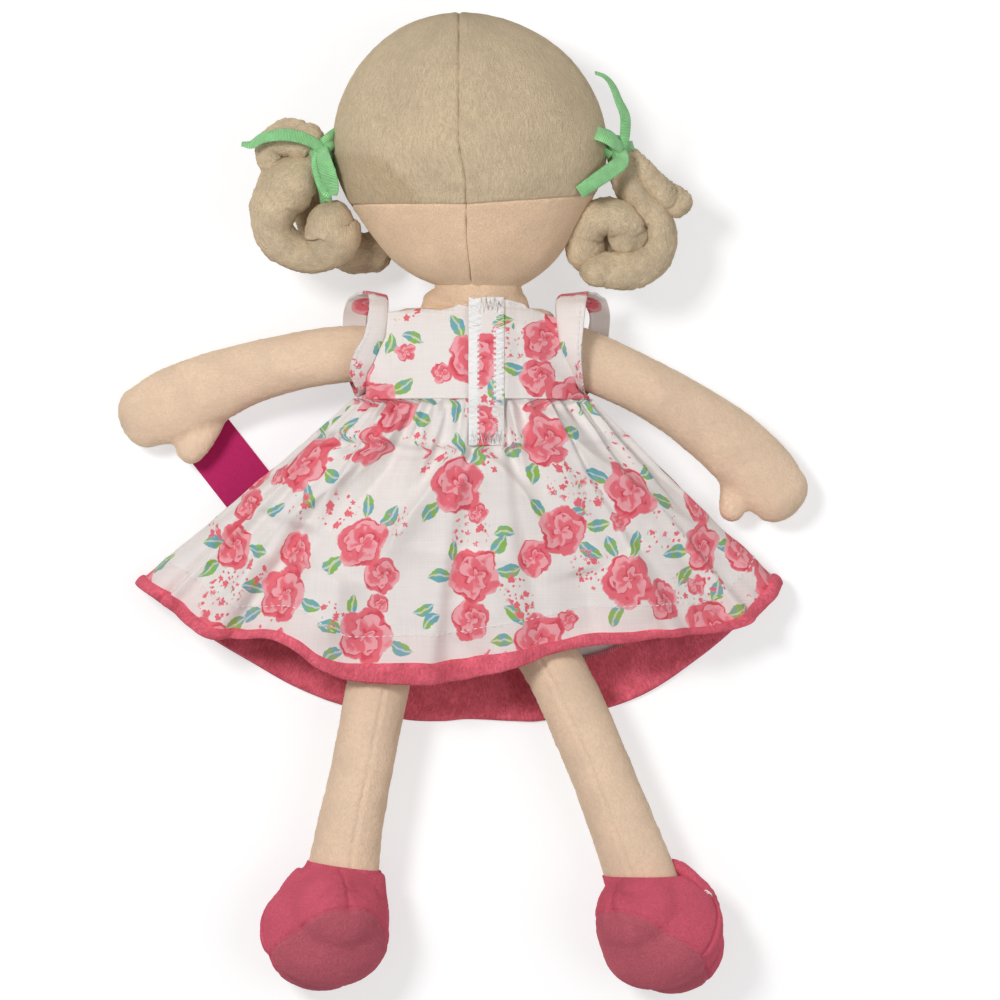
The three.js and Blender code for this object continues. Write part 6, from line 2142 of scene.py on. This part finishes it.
class RAGDOLL_OT_skirt(bpy.types.Operator):
    """Make the gathered skirt and its plush hem, cut into a left, a right and two middle parts"""

    bl_idname = "ragdoll.skirt"
    bl_label = "Skirt and hem"

    def execute(self, context):
        self.half_width = context.scene.doll_sizes.skirt_half_width
        finish = finishes()
        turn = math.pi + np.linspace(0, 2 * math.pi, 801)[:-1]
        self.cotton(turn, finish["cotton"])
        self.hem(turn, finish)
        self.stitches(finish["thread"])
        return {"FINISHED"}

    def reach(self, turn):
        """Length of the cloth from the waist to the hem at each turn."""
        ends = [skirt_place(turn, np.full_like(turn, share), self.half_width) for share in (0.0, 1.0)]
        return np.linalg.norm(ends[1] - ends[0], axis=-1)

    def cotton_end(self, turn):
        """Share at which the cotton ends and the plush edging starts."""
        behind = np.cos(turn) > 0
        edging = spline(EDGING, np.sin(turn))[..., 1] * MM
        edging = np.where(behind, edging, edging + (0.0085 - edging) * smooth_step(-3 * np.cos(turn)))
        return 1 - edging / self.reach(turn)

    def outward(self, grid):
        """Directions out of a grid of points that goes round the skirt."""
        across = np.roll(grid, -1, 1) - np.roll(grid, 1, 1)
        along = np.gradient(grid, axis=0)
        out = unit(np.cross(along, across))
        return -out if out[0, grid.shape[1] // 2, 2] < 0 else out

    def surface(self, turn, share):
        """The skirt's cloth with its gathers and folds."""
        turn = np.repeat(turn[None, :], len(share), 0)
        grid = skirt_place(turn, share, self.half_width)
        wander = noise(np.stack([np.sin(turn), np.cos(turn), turn * 0], -1), 0.16, 131)
        gathers = np.sin(40 * turn + 5 * wander) * np.exp(-share / 0.15)
        waves = np.sin(15 * turn + 4 * wander) * np.exp(-(((share - 0.3) / 0.3) ** 2))
        rise = 0.0021 * gathers * smooth_step(share / 0.03) + 0.0012 * waves
        low_waves = np.sin(11 * turn + 5 * wander + 1) * smooth_step((share - 0.25) / 0.4)
        rise += 0.0019 * low_waves * smooth_step(np.cos(turn) * 2)
        rise += 0.0009 * noise(grid * [1.0, 0.5, 1.0], 0.016, 133) * smooth_step(share / 0.2)
        rise += 0.0004 * noise(grid, 0.006, 134) * smooth_step(share / 0.2)
        rise = np.where(np.cos(turn) > 0, rise, rise * 0.6)
        grid = grid + self.outward(grid) * rise[..., None]
        behind = smooth_step(np.cos(turn) * 3)
        grid[..., 2] += FOLD_GAIN * fold_height(grid) * behind * smooth_step(share / 0.08)
        middle, half_width, half_depth = torso_section(grid[..., 1] - BASE_Y, 0.0009)
        off = (grid[..., 0] - middle) / half_width
        body = TORSO_LIFT + half_depth * np.sqrt(np.clip(1 - off**2, 0, 1))
        over = (np.cos(turn) > 0.05) & (grid[..., 1] > BASE_Y - 0.055) & (np.abs(off) < 1)
        grid[..., 2] = np.where(over, np.maximum(grid[..., 2], body), grid[..., 2])
        grid[..., 2] = np.maximum(grid[..., 2], 0.0016)
        return grid

    def cotton(self, turn, material):
        """The printed cotton from the waist to the plush edging."""
        end = self.cotton_end(turn)
        share = np.linspace(0, 1, 130)[:, None] * (end + 0.014)[None, :]
        grid = self.surface(turn, share)
        lined = share > (end - SKIRT["stitch"] / self.reach(turn))[None, :]
        self.cut("skirt_cotton", grid, turn, material, "skirt", "printed_cotton", 0.12, lined)

    def hem(self, turn, finish):
        """The plush edging, and the plush facing inside it."""
        end, reach = self.cotton_end(turn), self.reach(turn)
        part = np.linspace(0, 1, 14)[:, None]
        edge = self.surface(turn, end[None, :] - 0.002 + (1.002 - end[None, :]) * part)
        deep = np.linspace(0, 1, 26)[1:, None]
        inner = self.surface(turn, 1 - SKIRT["facing"] / reach[None, :] * deep)
        swell = 0.0015 * np.sqrt(np.sin(math.pi * np.clip(part * 0.86 + 0.1, 0, 1)))[..., None]
        swell[0] = -0.0003
        bumps = 0.00025 * noise(edge, 0.0022, 141)[..., None]
        outer = edge + self.outward(edge) * (swell + bumps)
        inside = inner - self.outward(inner) * (0.0012 + 0.0002 * noise(inner, 0.002, 143)[..., None])
        roll = np.concatenate([outer, inside], 0)
        roll[..., 2] = np.maximum(roll[..., 2], 0.0)
        # The roll takes the lighter facing pink: painted light for its facing in the shade under the skirt
        self.cut("hem_plush", roll, turn, finish["facing"], "hem_band", "pink_plush", 0.03, None)

    def stitches(self, material):
        """The running stitch above the hem, and the overlocked edge of the facing inside."""
        fine = math.pi + np.linspace(0, 2 * math.pi, 4001)[:-1]
        end, reach = self.cotton_end(fine), self.reach(fine)
        middle = end - SKIRT["stitch"] / reach
        rows = self.surface(fine, np.stack([middle - 0.004, middle, middle + 0.004]))
        seam = rows[1] + self.outward(rows)[1] * 0.00028
        dashes = dashes_along(seam, 0.0015, 0.0012, first=0.001, spare=0.003)
        inside = 1 - (SKIRT["facing"] - 0.0006) / reach
        rows = self.surface(fine, np.stack([inside - 0.004, inside, inside + 0.004]))
        out = self.outward(rows)[1]
        seam = rows[1] - out * 0.0016
        travel = travel_along(seam)
        at = np.arange(0, travel[-1], 0.00048)
        line = points_at(seam, travel, at)
        swing = points_at(unit(rows[2] - rows[0]), travel, at)
        line += swing * (0.0011 * np.where(np.arange(len(at)) % 2, 1, -1))[:, None]
        overlock = [line[start : start + 81] for start in range(0, len(line) - 80, 80)]
        whole = thread("hem_stitches", dashes, 0.00022, material, 4)
        self.split(whole, "hem_stitches", material, "hem_band", "white_tape", None)
        whole = thread("hem_overlock", overlock, 0.00017, material, 4)
        self.split(whole, "hem_overlock", material, "hem_band", "white_tape", None)

    def cut(self, name, grid, turn, material, node, slot, breadth, lined):
        """Makes cloth from a grid and splits it into its parts. Its print runs flat across the back."""
        across = np.append(turn, turn[0] + 2 * math.pi) - 2 * math.pi
        closed = np.concatenate([grid, grid[:, :1]], 1)
        faces, corner_rows, corner_columns = grid_faces(*grid.shape[:2], True)
        down = -np.cumsum(np.linalg.norm(np.diff(closed, axis=0, prepend=closed[:1]), axis=2), 0)
        if slot == "printed_cotton":
            steps = np.diff(closed, axis=1)
            run = np.cumsum(np.hypot(steps[..., 0], steps[..., 2]), 1)
            run = np.concatenate([np.zeros((len(grid), 1)), run], 1)
            middle = np.argmin(np.abs(across))
            back = run - run[:, [middle]] + closed[:, [middle], 0]
            part = run / run[:, -1:]
            front = 1 + np.where(across < 0, part, part - 1) * run[:, -1].mean()
            places = np.stack([np.stack([back, closed[..., 1]], 2), np.stack([front, down], 2)])
            turned = (np.cos(across[:-1] + (across[1] - across[0]) / 2) <= 0).astype(int)
            corners = places[turned[corner_columns[:, :1]], corner_rows, corner_columns]
        else:
            uv = np.stack(np.broadcast_arrays(travel_along(closed[0])[None, :], down), 2)
            corners = uv[corner_rows, corner_columns]
        whole = new_object(name, grid.reshape(-1, 3), faces[:, ::-1], material, corners[:, ::-1])
        if lined is not None:
            mark(whole, "Lined", lined)
        self.split(whole, name, material, node, slot, breadth)

    def split(self, whole, name, material, node, slot, breadth):
        """One object for each of four parts: the left, the right and the two middle wedges."""
        work = opened(whole)
        sliced(work, (MIDDLE_LINE, 0, 0), (1, 0, 0))
        for sign in (-1, 1):
            sliced(work, (MIDDLE_LINE, WEDGE_START, 0), (1 / WEDGE_WIDTH, sign / WEDGE_DEPTH, 0))
        for label, sign, near in (
            ("left", -1, False), ("left_middle", -1, True), ("right", 1, False), ("right_middle", 1, True)
        ):
            part = work.copy()
            drop = []
            for face in part.faces:
                centre = face.calc_center_median()
                off = sign * (centre.x - MIDDLE_LINE)
                below = WEDGE_START - centre.y
                if off < 0 or (off / WEDGE_WIDTH < below / WEDGE_DEPTH) != near:
                    drop.append(face)
            bmesh.ops.delete(part, geom=drop, context="FACES")
            mesh = bpy.data.meshes.new(f"{name}_{label}")
            part.to_mesh(mesh)
            part.free()
            piece = linked(f"{name}_{label}", mesh, material)
            leg = "left_leg" if sign < 0 else "right_leg"
            if near:
                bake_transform(piece)
            else:
                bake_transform(piece)
            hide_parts(node)
            if breadth:
                f"{leg.split('_')[0]}_stuffed_leg"
        work.free()
        bpy.data.objects.remove(whole)


class RAGDOLL_OT_tag(bpy.types.Operator):
    """Finish the card tag and its fastener"""

    bl_idname = "ragdoll.tag"
    bl_label = "Card tag"

    def execute(self, context):
        for node, material in (("card_tag", "card"), ("tag_fastener", "plastic")):
            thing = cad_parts[node]
            thing.data.materials.clear()
            thing.data.materials.append(finishes()[material])
        return {"FINISHED"}


# Half the floor's side, and how far the floor lies below the doll
FLOOR_HALF, FLOOR_DROP = 2.5, 0.0004
# Name, place, side and power of each lamp
LAMPS = [
    ("key_lamp", (-0.55, 0.4, 1.3), 0.3, 12.0),
    ("fill_lamp", (0.75, -0.1, 1.3), 0.8, 4.9),
    ("low_lamp", (-0.1, -0.5, 1.7), 0.8, 1.1),
]
# The camera looks straight down: its place over the doll, its height above the doll's back, and
# the width that it sees there
CAMERA_PLACE = (0.01449, 0.00215)
CAMERA_DISTANCE, CAMERA_SPAN, SENSOR_WIDTH = 2.6, 0.39, 36
BACK_HEIGHT = 0.03


class RAGDOLL_OT_stage(bpy.types.Operator):
    """Make the floor, the lamps, the world and the camera"""

    bl_idname = "ragdoll.stage"
    bl_label = "Stage"

    def execute(self, context):
        scene = context.scene
        material = bpy.data.materials.new("floor_paper")
        material.use_nodes = True
        net = Net(material.node_tree)
        net.tree.nodes.clear()
        paper = net.add("ShaderNodeBsdfDiffuse", {"Color": (0.9, 0.9, 0.9, 1)})
        shaded = net.add("ShaderNodeBsdfDiffuse", {"Color": (0.5, 0.5, 0.5, 1)})
        glow = net.add("ShaderNodeEmission", {"Color": (1, 1, 1, 1), "Strength": 0.56})
        paths = net.add("ShaderNodeLightPath").outputs
        seen = net.math("MAXIMUM", paths["Is Camera Ray"], paths["Is Glossy Ray"])
        bright = net.add("ShaderNodeAddShader", {0: shaded.outputs[0], 1: glow.outputs[0]})
        chosen = net.add("ShaderNodeMixShader", {0: seen, 1: paper.outputs[0], 2: bright.outputs[0]})
        output = net.add("ShaderNodeOutputMaterial")
        net.set(output.inputs["Surface"], chosen.outputs[0])
        corners = [(x * FLOOR_HALF, y * FLOOR_HALF, 0) for x, y in ((-1, -1), (1, -1), (1, 1), (-1, 1))]
        floor = new_object("floor", corners, [(0, 1, 2, 3)], material)
        floor.location.z = -FLOOR_DROP

        world = bpy.data.worlds.new("Studio")
        scene.world = world
        world.use_nodes = True
        net = Net(world.node_tree)
        net.tree.nodes.clear()
        paths = net.add("ShaderNodeLightPath").outputs
        seen = net.math("MAXIMUM", paths["Is Camera Ray"], paths["Is Glossy Ray"])
        seen = net.math("MAXIMUM", seen, paths["Is Transmission Ray"])
        strength = net.range(seen, 0.0, 1.0, 0.28, 1.0, smooth=False)
        background = net.add("ShaderNodeBackground", {"Color": (1, 1, 1, 1), "Strength": strength})
        output = net.add("ShaderNodeOutputWorld")
        net.set(output.inputs["Surface"], background.outputs[0])

        for name, place, size, power in LAMPS:
            lamp = bpy.data.lights.new(name, "AREA")
            lamp.shape, lamp.size, lamp.energy = "SQUARE", size, power
            thing = bpy.data.objects.new(name, lamp)
            scene.collection.objects.link(thing)
            thing.location = place
            thing.rotation_euler = (-Vector(place)).to_track_quat("-Z", "Y").to_euler()

        camera = bpy.data.cameras.new("camera")
        camera.sensor_width = SENSOR_WIDTH
        camera.lens = SENSOR_WIDTH * CAMERA_DISTANCE / CAMERA_SPAN
        camera.clip_start, camera.clip_end = 0.05, 20
        thing = bpy.data.objects.new("camera", camera)
        scene.collection.objects.link(thing)
        thing.location = (*CAMERA_PLACE, CAMERA_DISTANCE + BACK_HEIGHT)
        scene.camera = thing
        scene.view_settings.view_transform = "Standard"
        return {"FINISHED"}


class RAGDOLL_PT_panel(bpy.types.Panel):
    """The doll's pieces, sizes and colours"""

    bl_label = "Rag doll"
    bl_idname = "RAGDOLL_PT_panel"
    bl_space_type = "VIEW_3D"
    bl_region_type = "UI"
    bl_category = "Rag doll"

    def draw(self, context):
        for operator in OPERATORS:
            self.layout.operator(operator.bl_idname)
        for group in (context.scene.doll_sizes, context.scene.doll_colours):
            for key in group.__annotations__:
                self.layout.prop(group, key)


OPERATORS = (
    RAGDOLL_OT_head,
    RAGDOLL_OT_bunches,
    RAGDOLL_OT_body,
    RAGDOLL_OT_shoes,
    RAGDOLL_OT_bodice,
    RAGDOLL_OT_skirt,
    RAGDOLL_OT_tag,
    RAGDOLL_OT_stage,
)
CLASSES = (DollSizes, DollColours, *OPERATORS, RAGDOLL_PT_panel)


def register():
    for each in CLASSES:
        bpy.utils.register_class(each)
    bpy.types.Scene.doll_sizes = PointerProperty(type=DollSizes)
    bpy.types.Scene.doll_colours = PointerProperty(type=DollColours)


def unregister():
    del bpy.types.Scene.doll_colours
    del bpy.types.Scene.doll_sizes
    for each in reversed(CLASSES):
        bpy.utils.unregister_class(each)


def main():
    register()
    for name in ("stage", "head", "bunches", "body", "shoes", "bodice", "skirt", "tag"):
        getattr(bpy.ops.ragdoll, name)()


if __name__ == "__main__":
    main()
